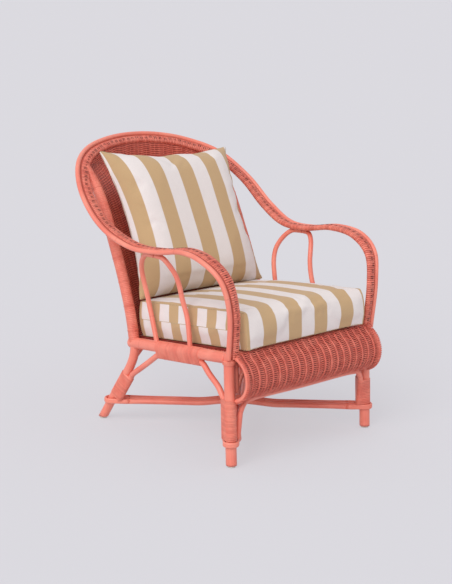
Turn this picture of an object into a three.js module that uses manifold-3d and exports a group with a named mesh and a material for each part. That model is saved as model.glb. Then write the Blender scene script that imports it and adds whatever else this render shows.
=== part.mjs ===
// Rattan armchair: a bent cane frame with a hooped back, loose seat and back cushions.
// Millimetres, +Z up. The front faces -Y and "left" is -X, the left of a person looking at the front.
// Heights count from the floor. The origin is under the middle of the chair, on the floor.

import * as THREE from "three";
import { mergeVertices } from "three/addons/utils/BufferGeometryUtils.js";
import Module from "manifold-3d";

const wasm = await Module();
wasm.setup();

// Seat frame
const frontHalfTrack = 285;
const trackTaper = 15;
const rearHalfTrack = frontHalfTrack - trackTaper;
const seatDepth = 467;
const frontRailHeight = 329;
const rearRailHeight = 281;
const railDiameter = 35;
const crossRailDiameter = 30;
const rearRailBow = 40;
const clearance = 0.3;

// Legs
const frontLegDiameter = 33;
const frontLegLean = 11;
const innerPoleDiameter = 17;
const rearLegDiameter = 29;
const rearFootSetBack = 160;
const rearFootFlare = 13;
const glideHeight = 6;
const glideDiameter = 25;

// Braces and stretchers
const braceDiameter = 18;
const cornerBraceDiameter = 15;
const bundleDrop = 125;
const rearBundleDrop = 105;
const bundleTop = frontRailHeight - bundleDrop;
const rearBundleTop = rearRailHeight - rearBundleDrop;
const wrapThickness = 2;
const stretcherHeight = 72;
const stretcherDiameter = 17;

// Bow: the arms and the hooped back in one long ribbon, a smooth pole outside and a wrapped band inside
const hoopHeight = 878;
const bowPoleDiameter = 15;
const bowBandThickness = 16;
const bowWidth = 58;
const bowGap = 1.2;
const postDiameter = 35;
const loopDiameter = 15.5;

// Apron: the woven half-round roll under the front edge of the seat
const apronHeight = 129;
const apronBulge = 50;
const apronRimDiameter = 14;
const apronThickness = 5;
const apronStakes = 20;
const apronRibHeight = 1.5;
const apronRodDiameter = 16;
const apronTopRodDiameter = 13;

// Seat deck and back panel
const deckThickness = 8;
const deckBarDiameter = 20;
const backPanelThickness = 7;
const backPanelStakes = 16;
const backPanelRibHeight = 2.2;

// Cushions
const seatCushionSideRoom = 29;
const seatCushionOverhang = 51;
const seatCushionTuck = 0.5;
const seatCushionThickness = 114;
const seatCushionCrown = 14;
const backCushionSideRoom = 25;
const backCushionHeight = 486;
const backCushionThickness = 165;
const backCushionEdge = 12;
const backCushionUprightDegrees = 3.6;

const seatCushionWidth = 2 * (frontHalfTrack - seatCushionSideRoom);
const seatCushionDepth = seatDepth + seatCushionOverhang;
const backCushionWidth = 2 * (frontHalfTrack - backCushionSideRoom);

// Fineness of the round sections and of the long curves
const poleSides = 10;
const thinSides = 8;
const ringSides = 6;
const bowStations = 52;
const straightStations = 2;
const railStations = 3;
const bendStations = 10;
const braceStations = 26;
const cornerStations = 6;
const loopStations = 14;
const apronRodStations = 30;
const apronStations = 12;
const apronSkinStations = 9;
const stretcherTurnStations = 6;
const panelRows = 8;
const cushionCells = 12;
const cushionDeepCells = 4;
const searchSteps = 48;

const sides = [
  ["left", -1],
  ["right", 1],
];

const frontY = -seatDepth / 2;
const rearY = seatDepth / 2;
const group = new THREE.Group();
const shapes = new Map();

const finishes = {
  pole: { color: 0xf0877a, roughness: 0.42, metalness: 0 },
  cane: { color: 0xe9796c, roughness: 0.55, metalness: 0 },
  weave: { color: 0xdb6a60, roughness: 0.6, metalness: 0 },
  glide: { color: 0xd9d6cf, roughness: 0.5, metalness: 0 },
  canvas: { color: 0xd8c9ab, roughness: 0.9, metalness: 0 },
};

// Geometry helpers

function toSolid(geometry) {
  geometry.deleteAttribute("normal");
  geometry.deleteAttribute("uv");
  const welded = mergeVertices(geometry);
  return new wasm.Manifold(
    new wasm.Mesh({
      numProp: 3,
      vertProperties: new Float32Array(welded.attributes.position.array),
      triVerts: new Uint32Array(welded.index.array),
    }),
  );
}

function toGeometry(solid) {
  const mesh = solid.getMesh();
  const geometry = new THREE.BufferGeometry();
  geometry.setAttribute("position", new THREE.BufferAttribute(mesh.vertProperties, mesh.numProp));
  geometry.setIndex(new THREE.BufferAttribute(mesh.triVerts, 1));
  return geometry;
}

function curve(points) {
  return new THREE.CatmullRomCurve3(points, false, "centripetal");
}

function point(x, y, z) {
  return new THREE.Vector3(x, y, z);
}

function mix(from, to, share) {
  return from + (to - from) * share;
}

// Where between `from` and `to` the steady measure passes `value`
function placeWhere(measure, value, from, to) {
  let [low, high] = [from, to];
  const rising = measure(to) > measure(from);
  for (let i = 0; i < searchSteps; i++) {
    const middle = (low + high) / 2;
    if (measure(middle) < value === rising) {
      low = middle;
    } else {
      high = middle;
    }
  }
  return low;
}

// The same curve, its ends drawn out by `grow`
function lengthened(path, grow) {
  const points = path.points.map((p) => p.clone());
  points[0].addScaledVector(path.getTangent(0), -grow);
  points[points.length - 1].addScaledVector(path.getTangent(1), grow);
  return curve(points);
}

// A round pole along a curve, grown by `grow` on every side
function pole(path, diameter, steps, sidesCount, grow = 0) {
  const circle = new THREE.Shape();
  circle.absarc(0, 0, diameter / 2 + grow, 0, 2 * Math.PI);
  return toSolid(
    new THREE.ExtrudeGeometry(circle, {
      steps,
      bevelEnabled: false,
      extrudePath: lengthened(path, grow),
      curveSegments: sidesCount / 2,
    }),
  );
}

// A closed body through rings of equal count, capped at both ends
function loft(rings) {
  const count = rings[0].length;
  const last = rings.length - 1;
  const centres = [rings[0], rings[last]].map((ring) =>
    ring.reduce((sum, p) => sum.add(p), new THREE.Vector3()).divideScalar(count),
  );
  const positions = [...rings.flat(), ...centres].flatMap((p) => p.toArray());
  const index = [];
  for (let i = 0; i < last; i++) {
    for (let k = 0; k < count; k++) {
      const a = i * count + k;
      const b = i * count + ((k + 1) % count);
      index.push(a, b, b + count, a, b + count, a + count);
    }
  }
  const first = rings.length * count;
  for (let k = 0; k < count; k++) {
    const next = (k + 1) % count;
    index.push(first, next, k);
    index.push(first + 1, last * count + k, last * count + next);
  }
  const geometry = new THREE.BufferGeometry();
  geometry.setAttribute("position", new THREE.Float32BufferAttribute(positions, 3));
  geometry.setIndex(index);
  const solid = toSolid(geometry);
  return solid.volume() < 0 ? toSolid(flipped(geometry)) : solid;
}

// A closed body between a front and a back grid of points, each a list of rows
function shell(front, back) {
  const [rows, columns] = [front.length, front[0].length];
  const layer = rows * columns;
  const positions = [...front.flat(), ...back.flat()].flatMap((p) => p.toArray());
  const index = [];
  const quad = (a, b, c, d) => index.push(a, b, c, a, c, d);
  for (let j = 0; j < rows - 1; j++) {
    for (let i = 0; i < columns - 1; i++) {
      const a = j * columns + i;
      quad(a, a + 1, a + columns + 1, a + columns);
      quad(layer + a, layer + a + columns, layer + a + columns + 1, layer + a + 1);
    }
  }
  for (let i = 0; i < columns - 1; i++) {
    const top = (rows - 1) * columns + i;
    quad(i, layer + i, layer + i + 1, i + 1);
    quad(top, top + 1, layer + top + 1, layer + top);
  }
  for (let j = 0; j < rows - 1; j++) {
    const left = j * columns;
    const right = left + columns - 1;
    quad(left, left + columns, layer + left + columns, layer + left);
    quad(right, layer + right, layer + right + columns, right + columns);
  }
  const geometry = new THREE.BufferGeometry();
  geometry.setAttribute("position", new THREE.Float32BufferAttribute(positions, 3));
  geometry.setIndex(index);
  const solid = toSolid(geometry);
  return solid.volume() < 0 ? toSolid(flipped(geometry)) : solid;
}

function flipped(geometry) {
  const index = geometry.index.array;
  for (let i = 0; i < index.length; i += 3) {
    [index[i], index[i + 1]] = [index[i + 1], index[i]];
  }
  return geometry;
}

// A skin woven over stakes: it is `thickness` thick over each stake and `ribHeight` lower on each face
// between them. `place(across, up, lift)` is the point `lift` off its middle, with both shares 0 to 1.
function wovenSkin({ stakes, rows, thickness, ribHeight, grow }, place) {
  const columns = 2 * stakes;
  const layer = (face) => {
    const grid = [];
    for (let j = 0; j <= rows; j++) {
      const row = [];
      for (let i = 0; i <= columns; i++) {
        const lift = thickness / 2 + grow - (i % 2 === 0 ? ribHeight : 0);
        row.push(place(i / columns, j / rows, face * lift));
      }
      grid.push(row);
    }
    return grid;
  };
  return shell(layer(-1), layer(1));
}

// The outline of a band drawn tight round circles, each { centre: [u, v], radius }
function beltOutline(circles, count) {
  const outline = [];
  for (let k = 0; k < count; k++) {
    const angle = (2 * Math.PI * k) / count;
    const [c, s] = [Math.cos(angle), Math.sin(angle)];
    const reach = ({ centre, radius }) => centre[0] * c + centre[1] * s + radius;
    const far = circles.reduce((best, circle) => (reach(circle) > reach(best) ? circle : best));
    outline.push([far.centre[0] + far.radius * c, far.centre[1] + far.radius * s]);
  }
  return outline;
}

// Adds a named piece; `shape(grow)` gives its body with the section grown on every side
function addPiece(name, finish, shape, cutters = []) {
  let solid = shape(0);
  for (const cutter of cutters) {
    solid = solid.subtract(shapes.get(cutter)(clearance));
  }
  shapes.set(name, shape);
  const mesh = new THREE.Mesh(toGeometry(solid), new THREE.MeshStandardMaterial(finishes[finish]));
  mesh.name = name;
  group.add(mesh);
  return mesh;
}

// Centre lines of the seat frame

function railHeightAt(y) {
  return mix(frontRailHeight, rearRailHeight, (y - frontY) / seatDepth);
}

function railHalfTrackAt(y) {
  return mix(frontHalfTrack, rearHalfTrack, (y - frontY) / seatDepth);
}

function frontLegCentre(z) {
  return point(frontHalfTrack, frontY - frontLegLean * (1 - z / frontRailHeight), z);
}

// Shares: flare outwards, set-back of the foot, height of the rear rail
const rearLegShares = [
  [0, -0.01, 1],
  [0.02, 0, 0.9],
  [0.08, 0.038, 0.82],
  [0.15, 0.119, 0.726],
  [0.23, 0.219, 0.637],
  [0.62, 0.606, 0.327],
  [1, 1, 0],
  [1.06, 1.08, -0.055],
];

function rearLegPoints() {
  return rearLegShares.map(([flare, back, height]) =>
    point(
      rearHalfTrack + flare * rearFootFlare,
      rearY + back * rearFootSetBack,
      height * rearRailHeight,
    ),
  );
}

// The straight lower stretch of the rear leg, by height
function rearLegCentre(z) {
  const points = rearLegPoints();
  const [top, foot] = [points[4], points[6]];
  return top.clone().lerp(foot, (top.z - z) / (top.z - foot.z));
}

const rearLegTilt = rearLegCentre(0).sub(rearLegCentre(rearBundleTop)).normalize();

// Centre line of the bow, front foot to the top of the hoop
// Shares: front half track, seat depth behind the front, rise above the front rail
const bowShares = [
  [1, -0.03, 0],
  [1.021, -0.053, 0.265],
  [1.067, -0.006, 0.429],
  [1.098, 0.142, 0.515],
  [1.084, 0.343, 0.537],
  [1.084, 0.587, 0.506],
  [1.123, 0.844, 0.506],
  [1.182, 1.094, 0.588],
  [1.165, 1.319, 0.736],
  [0.993, 1.518, 0.876],
  [0.695, 1.668, 0.951],
  [0.351, 1.731, 0.989],
  [0, 1.754, 1],
];

// Shares of the bow's half length and, there, of its full width
const bowWidthShares = [
  [0, 0.76],
  [0.12, 0.78],
  [0.25, 1],
  [0.5, 0.92],
  [0.7, 0.84],
  [1, 0.75],
];
const bowTurnStartShare = 0.45;
const bowTurnPower = 1.75;
const hoopTiltDegrees = 47;

function bowPoint([across, back, rise], side) {
  return point(
    side * across * frontHalfTrack,
    frontY + back * seatDepth,
    mix(frontRailHeight, hoopHeight, rise),
  );
}

const bowCurve = curve([
  ...bowShares.map((share) => bowPoint(share, -1)),
  ...bowShares
    .slice(0, -1)
    .reverse()
    .map((share) => bowPoint(share, 1)),
]);
bowCurve.arcLengthDivisions = bowStations * poleSides;

function bowWidthAt(along) {
  const next = Math.max(
    1,
    bowWidthShares.findIndex(([at]) => at >= along),
  );
  const [[a, widthA], [b, widthB]] = [bowWidthShares[next - 1], bowWidthShares[next]];
  const blend = THREE.MathUtils.smoothstep(along, a, b);
  return bowWidth * mix(widthA, widthB, blend);
}

// Centre, outward, facing and width of the ribbon; `u` runs 0 to 1 from the left foot to the right
function bowFrame(u) {
  const side = u < 0.5 ? -1 : 1;
  const along = 1 - Math.abs(2 * u - 1);
  const turn = Math.max(0, (along - bowTurnStartShare) / (1 - bowTurnStartShare));
  const angle = (Math.PI / 2) * turn ** bowTurnPower;
  const tilt = THREE.MathUtils.degToRad(hoopTiltDegrees);
  const centre = bowCurve.getPointAt(u);
  const tangent = bowCurve.getTangentAt(u);
  const outward = point(
    side * Math.cos(angle),
    Math.sin(angle) * Math.cos(tilt),
    Math.sin(angle) * Math.sin(tilt),
  );
  outward.addScaledVector(tangent, -outward.dot(tangent)).normalize();
  const facing = new THREE.Vector3().crossVectors(outward, tangent);
  return { centre, tangent, outward, facing, width: bowWidthAt(along) };
}

function bowRings(outline, grow) {
  const rings = [];
  for (let i = 0; i <= bowStations; i++) {
    const frame = bowFrame(i / bowStations);
    const end = i === 0 ? -1 : i === bowStations ? 1 : 0;
    frame.centre.addScaledVector(frame.tangent, end * grow);
    rings.push(
      outline(frame.width, grow).map(([u, v]) =>
        frame.centre
          .clone()
          .addScaledVector(frame.outward, u)
          .addScaledVector(frame.facing, v),
      ),
    );
  }
  return rings;
}

function bowBandOutline(width, grow) {
  const radius = bowBandThickness / 2;
  const inner = -width / 2 + radius;
  const outer = width / 2 - bowPoleDiameter - bowGap - radius;
  const circles = [inner, outer].map((u) => ({ centre: [u, 0], radius: radius + grow }));
  return beltOutline(circles, poleSides);
}

function bowPoleOutline(width, grow) {
  const radius = bowPoleDiameter / 2;
  return beltOutline([{ centre: [width / 2 - radius, 0], radius: radius + grow }], thinSides);
}

const armEndShare = 0.78;

// The right-hand bow frame over the armrest at depth y
function armFrameAt(y) {
  const [from, to] = [1 - bowWidthShares[2][0] / 2, 1 - armEndShare / 2];
  return bowFrame(placeWhere((u) => bowCurve.getPointAt(u).y, y, from, to));
}

// The place on the right half of the hoop at distance x from the middle
function hoopPlace(x) {
  return placeWhere((u) => bowCurve.getPointAt(u).x, x, 1 / 2, 1 - armEndShare / 2);
}

// A curve on the right, mirrored onto the wanted side
function sided(points, side) {
  return curve(points.map((p) => point(side * p.x, p.y, p.z)));
}

// Bow

addPiece("bow_wrapped_band", "cane", (grow) => loft(bowRings(bowBandOutline, grow)));
addPiece("bow_outer_pole", "pole", (grow) => loft(bowRings(bowPoleOutline, grow)));

// Front legs, notched at the top for the foot of the bow

function trimmedBelow(solid, height) {
  return solid.trimByPlane([0, 0, 1], height);
}

const legFoot = glideHeight + clearance;

for (const [name, side] of sides) {
  addPiece(
    `front_leg_${name}`,
    "pole",
    (grow) => {
      const top = frontRailHeight + railDiameter / 2;
      const path = sided([frontLegCentre(0), frontLegCentre(top / 2), frontLegCentre(top)], side);
      return trimmedBelow(pole(path, frontLegDiameter, straightStations, poleSides, grow), legFoot - grow);
    },
    ["bow_wrapped_band", "bow_outer_pole"],
  );
}

// Side rails, from inside each front leg to behind the foot of the post

const railEndInset = frontLegDiameter / 4;
const railEndOverrun = postDiameter / 2;

for (const [name, side] of sides) {
  addPiece(
    `side_rail_${name}`,
    "cane",
    (grow) => {
      const places = [frontY + railEndInset, 0, rearY + railEndOverrun];
      const path = sided(
        places.map((y) => point(railHalfTrackAt(y), y, railHeightAt(y))),
        side,
      );
      return pole(path, railDiameter, railStations, poleSides, grow);
    },
    [`front_leg_${name}`, "bow_wrapped_band", "bow_outer_pole"],
  );
}

// Rear legs, bent back below the seat

for (const [name, side] of sides) {
  addPiece(
    `rear_leg_${name}`,
    "pole",
    (grow) => {
      const leg = pole(sided(rearLegPoints(), side), rearLegDiameter, bendStations, poleSides, grow);
      return trimmedBelow(leg, legFoot - grow);
    },
    [`side_rail_${name}`],
  );
}

// Back posts, standing on the side rails and carrying the hoop
// Shares of the lean and of the rise from the side rail to the hoop
const postShares = [
  [0, 0],
  [0.05, 0.13],
  [0.119, 0.247],
  [0.254, 0.419],
  [0.373, 0.547],
  [0.56, 0.74],
  [0.73, 0.868],
  [0.95, 0.968],
];
const postTopShare = 0.92;

function postPoints() {
  const top = bowCurve.getPointAt(hoopPlace(postTopShare * frontHalfTrack));
  return postShares.map(([lean, rise]) =>
    point(
      mix(rearHalfTrack, top.x, rise ** 2),
      mix(rearY, top.y, lean),
      mix(rearRailHeight, top.z, rise),
    ),
  );
}

for (const [name, side] of sides) {
  addPiece(
    `back_post_${name}`,
    "cane",
    (grow) => pole(sided(postPoints(), side), postDiameter, bendStations, poleSides, grow),
    [`side_rail_${name}`, "bow_wrapped_band", "bow_outer_pole"],
  );
}

// Cross rails

addPiece(
  "front_rail",
  "cane",
  (grow) => {
    const path = curve([-1, 0, 1].map((side) => point(side * frontHalfTrack, frontY, frontRailHeight)));
    return pole(path, crossRailDiameter, straightStations, poleSides, grow);
  },
  [
    "front_leg_left",
    "front_leg_right",
    "side_rail_left",
    "side_rail_right",
    "bow_wrapped_band",
    "bow_outer_pole",
  ],
);

// Share of the half track, bowed backwards to carry the foot of the back panel
const rearRailShares = [-1, -0.75, -0.4, 0, 0.4, 0.75, 1];

function rearRailPoint(across) {
  return point(across * rearHalfTrack, rearY + rearRailBow * (1 - across ** 2), rearRailHeight);
}

addPiece(
  "rear_rail",
  "cane",
  (grow) => {
    const path = curve(rearRailShares.map(rearRailPoint));
    return pole(path, crossRailDiameter, bendStations, poleSides, grow);
  },
  [
    "side_rail_left",
    "side_rail_right",
    "rear_leg_left",
    "rear_leg_right",
    "back_post_left",
    "back_post_right",
  ],
);

// Inner poles beside the front legs

const innerPoleOffset = (frontLegDiameter + innerPoleDiameter) / 2 + clearance;
const innerPoleFoot = bundleTop + innerPoleDiameter;

for (const [name, side] of sides) {
  addPiece(
    `front_inner_pole_${name}`,
    "pole",
    (grow) => {
      const heights = [innerPoleFoot, (innerPoleFoot + frontRailHeight) / 2, frontRailHeight];
      const path = sided(
        heights.map((z) => frontLegCentre(z).add(point(-innerPoleOffset, 0, 0))),
        side,
      );
      return pole(path, innerPoleDiameter, straightStations, thinSides, grow);
    },
    ["front_rail", `side_rail_${name}`],
  );
}

// Side braces: one bent pole each, up the front leg, along under the rail and down the rear leg

const frontBraceOffset = (frontLegDiameter + braceDiameter) / 2 + clearance;
const railBraceOffset = (railDiameter + braceDiameter) / 2 + clearance;
const rearBraceOffset = (rearLegDiameter + braceDiameter) / 2 + clearance;
const ringClearHeight = stretcherHeight + stretcherDiameter / 2 + clearance;
const bundleFoot = ringClearHeight + clearance;
// Shares of the seat depth where the brace runs under the rail
const braceRunShares = [0.27, 0.36, 0.5, 0.64, 0.73];
// Shares: from the leg bundle to the rail, across and up
const frontBraceShares = [
  [0.1, 0.18],
  [0.24, 0.38],
  [0.66, 0.71],
];
const rearBraceShares = [
  [0.06, 0.12],
  [0.31, 0.36],
  [0.59, 0.62],
  [0.85, 0.87],
];

function besideFrontLeg(z) {
  return frontLegCentre(z).add(point(0, frontBraceOffset, 0));
}

function besideRearLeg(z) {
  const offset = point(0, rearLegTilt.z, -rearLegTilt.y).normalize().multiplyScalar(rearBraceOffset);
  return rearLegCentre(z).add(offset);
}

function underRail(share) {
  const y = mix(frontY, rearY, share);
  return point(railHalfTrackAt(y), y, railHeightAt(y) - railBraceOffset);
}

function between(from, to, [across, up]) {
  return point(mix(from.x, to.x, across), mix(from.y, to.y, across), mix(from.z, to.z, up));
}

function sideBracePoints() {
  const run = braceRunShares.map(underRail);
  const frontTop = besideFrontLeg(bundleTop - braceDiameter / 2);
  const rearTop = besideRearLeg(rearBundleTop);
  return [
    besideFrontLeg(bundleFoot),
    besideFrontLeg((bundleFoot + bundleTop) / 2),
    frontTop,
    ...frontBraceShares.map((share) => between(frontTop, run[0], share)),
    ...run,
    ...[...rearBraceShares].reverse().map((share) => between(rearTop, run[run.length - 1], share)),
    rearTop,
    besideRearLeg((rearBundleTop + ringClearHeight) / 2),
    besideRearLeg(ringClearHeight + braceDiameter / 2),
  ];
}

for (const [name, side] of sides) {
  addPiece(
    `side_brace_${name}`,
    "pole",
    (grow) => {
      const brace = pole(sided(sideBracePoints(), side), braceDiameter, braceStations, thinSides, grow);
      return trimmedBelow(brace, bundleFoot - grow);
    },
    [`front_leg_${name}`, `side_rail_${name}`, `rear_leg_${name}`],
  );
}

// Corner braces under the front and rear rails
// Shares: from the leg to the middle of the chair, and up to the rail
const cornerBraceShares = [
  [0, 0],
  [0.3, 0.42],
  [0.68, 0.8],
  [1, 1],
];
const cornerBraceReachShare = 0.66;

function frontBracePoints() {
  const foot = frontLegCentre(innerPoleFoot + cornerBraceDiameter / 2);
  const top = point(cornerBraceReachShare * frontHalfTrack, frontY, frontRailHeight);
  foot.x -= innerPoleOffset;
  return cornerBraceShares.map((share) => between(foot, top, share));
}

function rearBracePoints() {
  const foot = rearLegCentre(rearBundleTop + cornerBraceDiameter / 2);
  const top = rearRailPoint(cornerBraceReachShare);
  return cornerBraceShares.map((share) => between(foot, top, share));
}

for (const [name, side] of sides) {
  addPiece(
    `front_brace_${name}`,
    "pole",
    (grow) => pole(sided(frontBracePoints(), side), cornerBraceDiameter, cornerStations, thinSides, grow),
    [`front_leg_${name}`, `front_inner_pole_${name}`, "front_rail"],
  );
  addPiece(
    `rear_brace_${name}`,
    "pole",
    (grow) => pole(sided(rearBracePoints(), side), cornerBraceDiameter, cornerStations, thinSides, grow),
    [`rear_leg_${name}`, "rear_rail"],
  );
}

// Cane wrapping round the leg bundles and the middle of the side rails

// A sleeve drawn tight round poles: each of the two sections has an origin, two axes and circles
function sleeve(sections, grow) {
  const axis = sections[1].origin.clone().sub(sections[0].origin).setLength(grow);
  sections[0].origin.sub(axis);
  sections[1].origin.add(axis);
  return loft(
    sections.map(({ origin, across, up, circles }) =>
      beltOutline(
        circles.map(({ centre, radius }) => ({ centre, radius: radius + wrapThickness + grow })),
        poleSides + ringSides,
      ).map(([u, v]) => origin.clone().addScaledVector(across, u).addScaledVector(up, v)),
    ),
  );
}

const xAxis = point(1, 0, 0);
const yAxis = point(0, 1, 0);
const zAxis = point(0, 0, 1);

function frontWrapSections(side) {
  return [bundleFoot, bundleTop].map((z) => {
    const leg = frontLegCentre(z);
    return {
      origin: point(side * leg.x, leg.y, leg.z),
      across: xAxis,
      up: yAxis,
      circles: [
        { centre: [0, 0], radius: frontLegDiameter / 2 },
        { centre: [0, frontBraceOffset], radius: braceDiameter / 2 },
      ],
    };
  });
}

function rearWrapSections(side) {
  const up = point(0, -rearLegTilt.z, rearLegTilt.y).normalize();
  return [ringClearHeight + rearLegDiameter / 2, rearBundleTop].map((z) => {
    const leg = rearLegCentre(z);
    return {
      origin: point(side * leg.x, leg.y, leg.z),
      across: xAxis,
      up,
      circles: [
        { centre: [0, 0], radius: rearLegDiameter / 2 },
        { centre: [0, -rearBraceOffset], radius: braceDiameter / 2 },
      ],
    };
  });
}

const railWrapShares = [0.275, 0.725];

function railWrapSections(side) {
  return railWrapShares.map((share) => {
    const y = mix(frontY, rearY, share);
    return {
      origin: point(side * railHalfTrackAt(y), y, railHeightAt(y)),
      across: xAxis,
      up: zAxis,
      circles: [
        { centre: [0, 0], radius: railDiameter / 2 },
        { centre: [0, -railBraceOffset], radius: braceDiameter / 2 },
      ],
    };
  });
}

for (const [name, side] of sides) {
  addPiece(
    `front_leg_wrap_${name}`,
    "cane",
    (grow) => sleeve(frontWrapSections(side), grow),
    [`front_leg_${name}`, `side_brace_${name}`],
  );
  addPiece(
    `rear_leg_wrap_${name}`,
    "cane",
    (grow) => trimmedBelow(sleeve(rearWrapSections(side), grow), bundleFoot - grow),
    [`rear_leg_${name}`, `side_brace_${name}`],
  );
  addPiece(
    `side_rail_wrap_${name}`,
    "cane",
    (grow) => sleeve(railWrapSections(side), grow),
    [`side_rail_${name}`, `side_brace_${name}`],
  );
}

// Arm loops: a front and a rear pole that meet tip to tip under the armrest
// Shares: of the way outwards from the rail to the arm, of the seat depth, of the rise from rail to arm
const frontLoopShares = [
  [0, 0.387, 0],
  [-0.32, 0.446, 0.36],
  [-0.25, 0.488, 0.55],
  [-0.12, 0.508, 0.7],
  [0.15, 0.522, 0.81],
  [0.6, 0.551, 0.92],
  [0.87, 0.586, 0.985],
  [1, 0.626, 1],
];
const rearLoopShares = [
  [0, 0.737, 0],
  [-0.18, 0.83, 0.36],
  [-0.13, 0.853, 0.5],
  [0.02, 0.872, 0.65],
  [0.28, 0.87, 0.78],
  [0.62, 0.831, 0.9],
  [0.88, 0.766, 0.985],
  [1, 0.699, 1],
];
const loopTipShares = [0.654, 0.663];
const loopSeat = 1.5;

function loopPoints(shares, tipShare) {
  const tip = mix(frontY, rearY, tipShare);
  const arm = armFrameAt(tip);
  const drop = (bowBandThickness + loopDiameter) / 2 - loopSeat;
  const foot = mix(frontY, rearY, shares[0][1]);
  const footX = railHalfTrackAt(foot);
  const footZ = railHeightAt(foot);
  const points = shares.map(([out, back, rise]) =>
    point(
      mix(footX, arm.centre.x, out),
      mix(frontY, rearY, back),
      mix(footZ, arm.centre.z - drop, rise),
    ),
  );
  points.push(point(arm.centre.x, tip, arm.centre.z - drop));
  return points;
}

for (const [name, side] of sides) {
  const loops = [
    ["front", frontLoopShares, loopTipShares[0]],
    ["rear", rearLoopShares, loopTipShares[1]],
  ];
  for (const [end, shares, tipShare] of loops) {
    addPiece(
      `arm_loop_${end}_${name}`,
      "pole",
      (grow) => {
        const path = sided(loopPoints(shares, tipShare), side);
        return pole(path, loopDiameter, loopStations, thinSides, grow);
      },
      [`side_rail_${name}`, `side_rail_wrap_${name}`, "bow_wrapped_band", "bow_outer_pole"],
    );
  }
}

// Crossed stretchers: each a core between opposite legs and a long loop round both
const crossingShare = 0.16;
const crossingLiftShare = 0.62;
const spreadShare = 0.12;
const frontRingRadius = (frontLegDiameter + stretcherDiameter) / 2 + clearance;
const rearRingRadius = frontRingRadius + (frontLegDiameter - rearLegDiameter) / 2;
const stretcherSpacing = stretcherDiameter + clearance;
const crossingLift = crossingLiftShare * stretcherDiameter;

function stretcherEnds(side) {
  const front = frontLegCentre(stretcherHeight);
  const rear = rearLegCentre(stretcherHeight);
  return [point(side * front.x, front.y, front.z), point(-side * rear.x, rear.y, rear.z)];
}

// Height of the stretcher along its length: one passes over the other at the middle
function stretcherLift(share, side) {
  const near = Math.max(0, 1 - Math.abs(share - 1 / 2) / crossingShare);
  return side * crossingLift * THREE.MathUtils.smootherstep(near, 0, 1);
}

function stretcherSpread(share) {
  const toFront = 1 - THREE.MathUtils.smoothstep(share, 0, spreadShare);
  const toRear = THREE.MathUtils.smoothstep(share, 1 - spreadShare, 1);
  return (
    stretcherSpacing +
    toFront * (frontRingRadius - stretcherSpacing) +
    toRear * (rearRingRadius - stretcherSpacing)
  );
}

function stretcherLoop(side, grow) {
  const [front, rear] = stretcherEnds(side);
  const along = rear.clone().sub(front).normalize();
  const across = new THREE.Vector3().crossVectors(zAxis, along);
  const points = [];
  const straight = (share, way) => {
    const p = front.clone().lerp(rear, share);
    p.addScaledVector(across, way * stretcherSpread(share));
    p.z += stretcherLift(share, side);
    points.push(p);
  };
  const turn = (centre, radius, way) => {
    for (let i = 1; i < stretcherTurnStations; i++) {
      const angle = (Math.PI * i) / stretcherTurnStations;
      points.push(
        centre
          .clone()
          .addScaledVector(across, way * radius * Math.cos(angle))
          .addScaledVector(along, way * radius * Math.sin(angle)),
      );
    }
  };
  for (let i = 0; i <= loopStations; i++) {
    straight(i / loopStations, 1);
  }
  turn(rear, rearRingRadius, 1);
  for (let i = loopStations; i >= 0; i--) {
    straight(i / loopStations, -1);
  }
  turn(front, frontRingRadius, -1);
  const path = new THREE.CatmullRomCurve3(points, true, "centripetal");
  const radius = stretcherDiameter / 2 + grow;
  return toSolid(new THREE.TubeGeometry(path, points.length, radius, ringSides, true));
}

function stretcherCore(side, grow) {
  const [front, rear] = stretcherEnds(side);
  const points = [];
  for (let i = 0; i <= loopStations; i++) {
    const p = front.clone().lerp(rear, i / loopStations);
    p.z += stretcherLift(i / loopStations, side);
    points.push(p);
  }
  return pole(curve(points), stretcherDiameter, loopStations, thinSides, grow);
}

for (const [name, side] of sides) {
  const legs = [`front_leg_${name}`, side < 0 ? "rear_leg_right" : "rear_leg_left"];
  addPiece(`stretcher_core_${name}`, "pole", (grow) => stretcherCore(side, grow), legs);
  addPiece(`stretcher_loop_${name}`, "pole", (grow) => stretcherLoop(side, grow), [
    ...legs,
    `stretcher_core_${name}`,
  ]);
}

// Apron frame: a rod under the cushion, a rod bent down beside both front legs, and a rim at each end

const apronTopHeight = frontRailHeight + apronTopRodDiameter / 2 - deckThickness / 2;
const apronFaceY = frontY - frontLegLean / 2 - frontLegDiameter / 2;
const apronRimX = frontHalfTrack - frontLegDiameter / 4;
const apronTopRodY = frontY - crossRailDiameter / 2 - apronTopRodDiameter / 2 + clearance;

// A point [y, z] of the half-round profile, `share` of the way from the top to the foot, set out by `offset`
function apronPoint(offset, share) {
  const half = apronHeight / 2;
  const radius = (half ** 2 + apronBulge ** 2) / (2 * apronBulge);
  const shallow = Math.asin(half / radius);
  const reach = apronBulge > radius ? Math.PI - shallow : shallow;
  const centreY = apronFaceY - apronBulge + radius;
  const centreZ = apronTopHeight - half;
  const angle = mix(reach, -reach, share);
  return [
    centreY - (radius + offset) * Math.cos(angle),
    centreZ + (radius + offset) * Math.sin(angle),
  ];
}

const apronRodBendShares = [
  [0, 0],
  [0.02, 0.35],
  [0.06, 0.72],
  [0.35, 0.96],
  [0.75, 1],
];
const apronRodReach = 60;

function apronRodPoints() {
  const wrapRadius = frontLegDiameter / 2 + wrapThickness + clearance;
  const [footY, footZ] = apronPoint(-apronThickness, 1);
  const lowX = frontHalfTrack - wrapRadius - apronRodDiameter / 2 - clearance;
  const legY = frontLegCentre(bundleFoot).y;
  const top = footZ - apronRodDiameter / 2;
  const half = apronRodBendShares.map(([inwards, up]) =>
    point(lowX - inwards * apronRodReach, mix(legY, footY, up), mix(bundleFoot, top, up)),
  );
  const mirrored = half.map((p) => point(-p.x, p.y, p.z)).reverse();
  return [...half, point(0, footY, top), ...mirrored];
}

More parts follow.
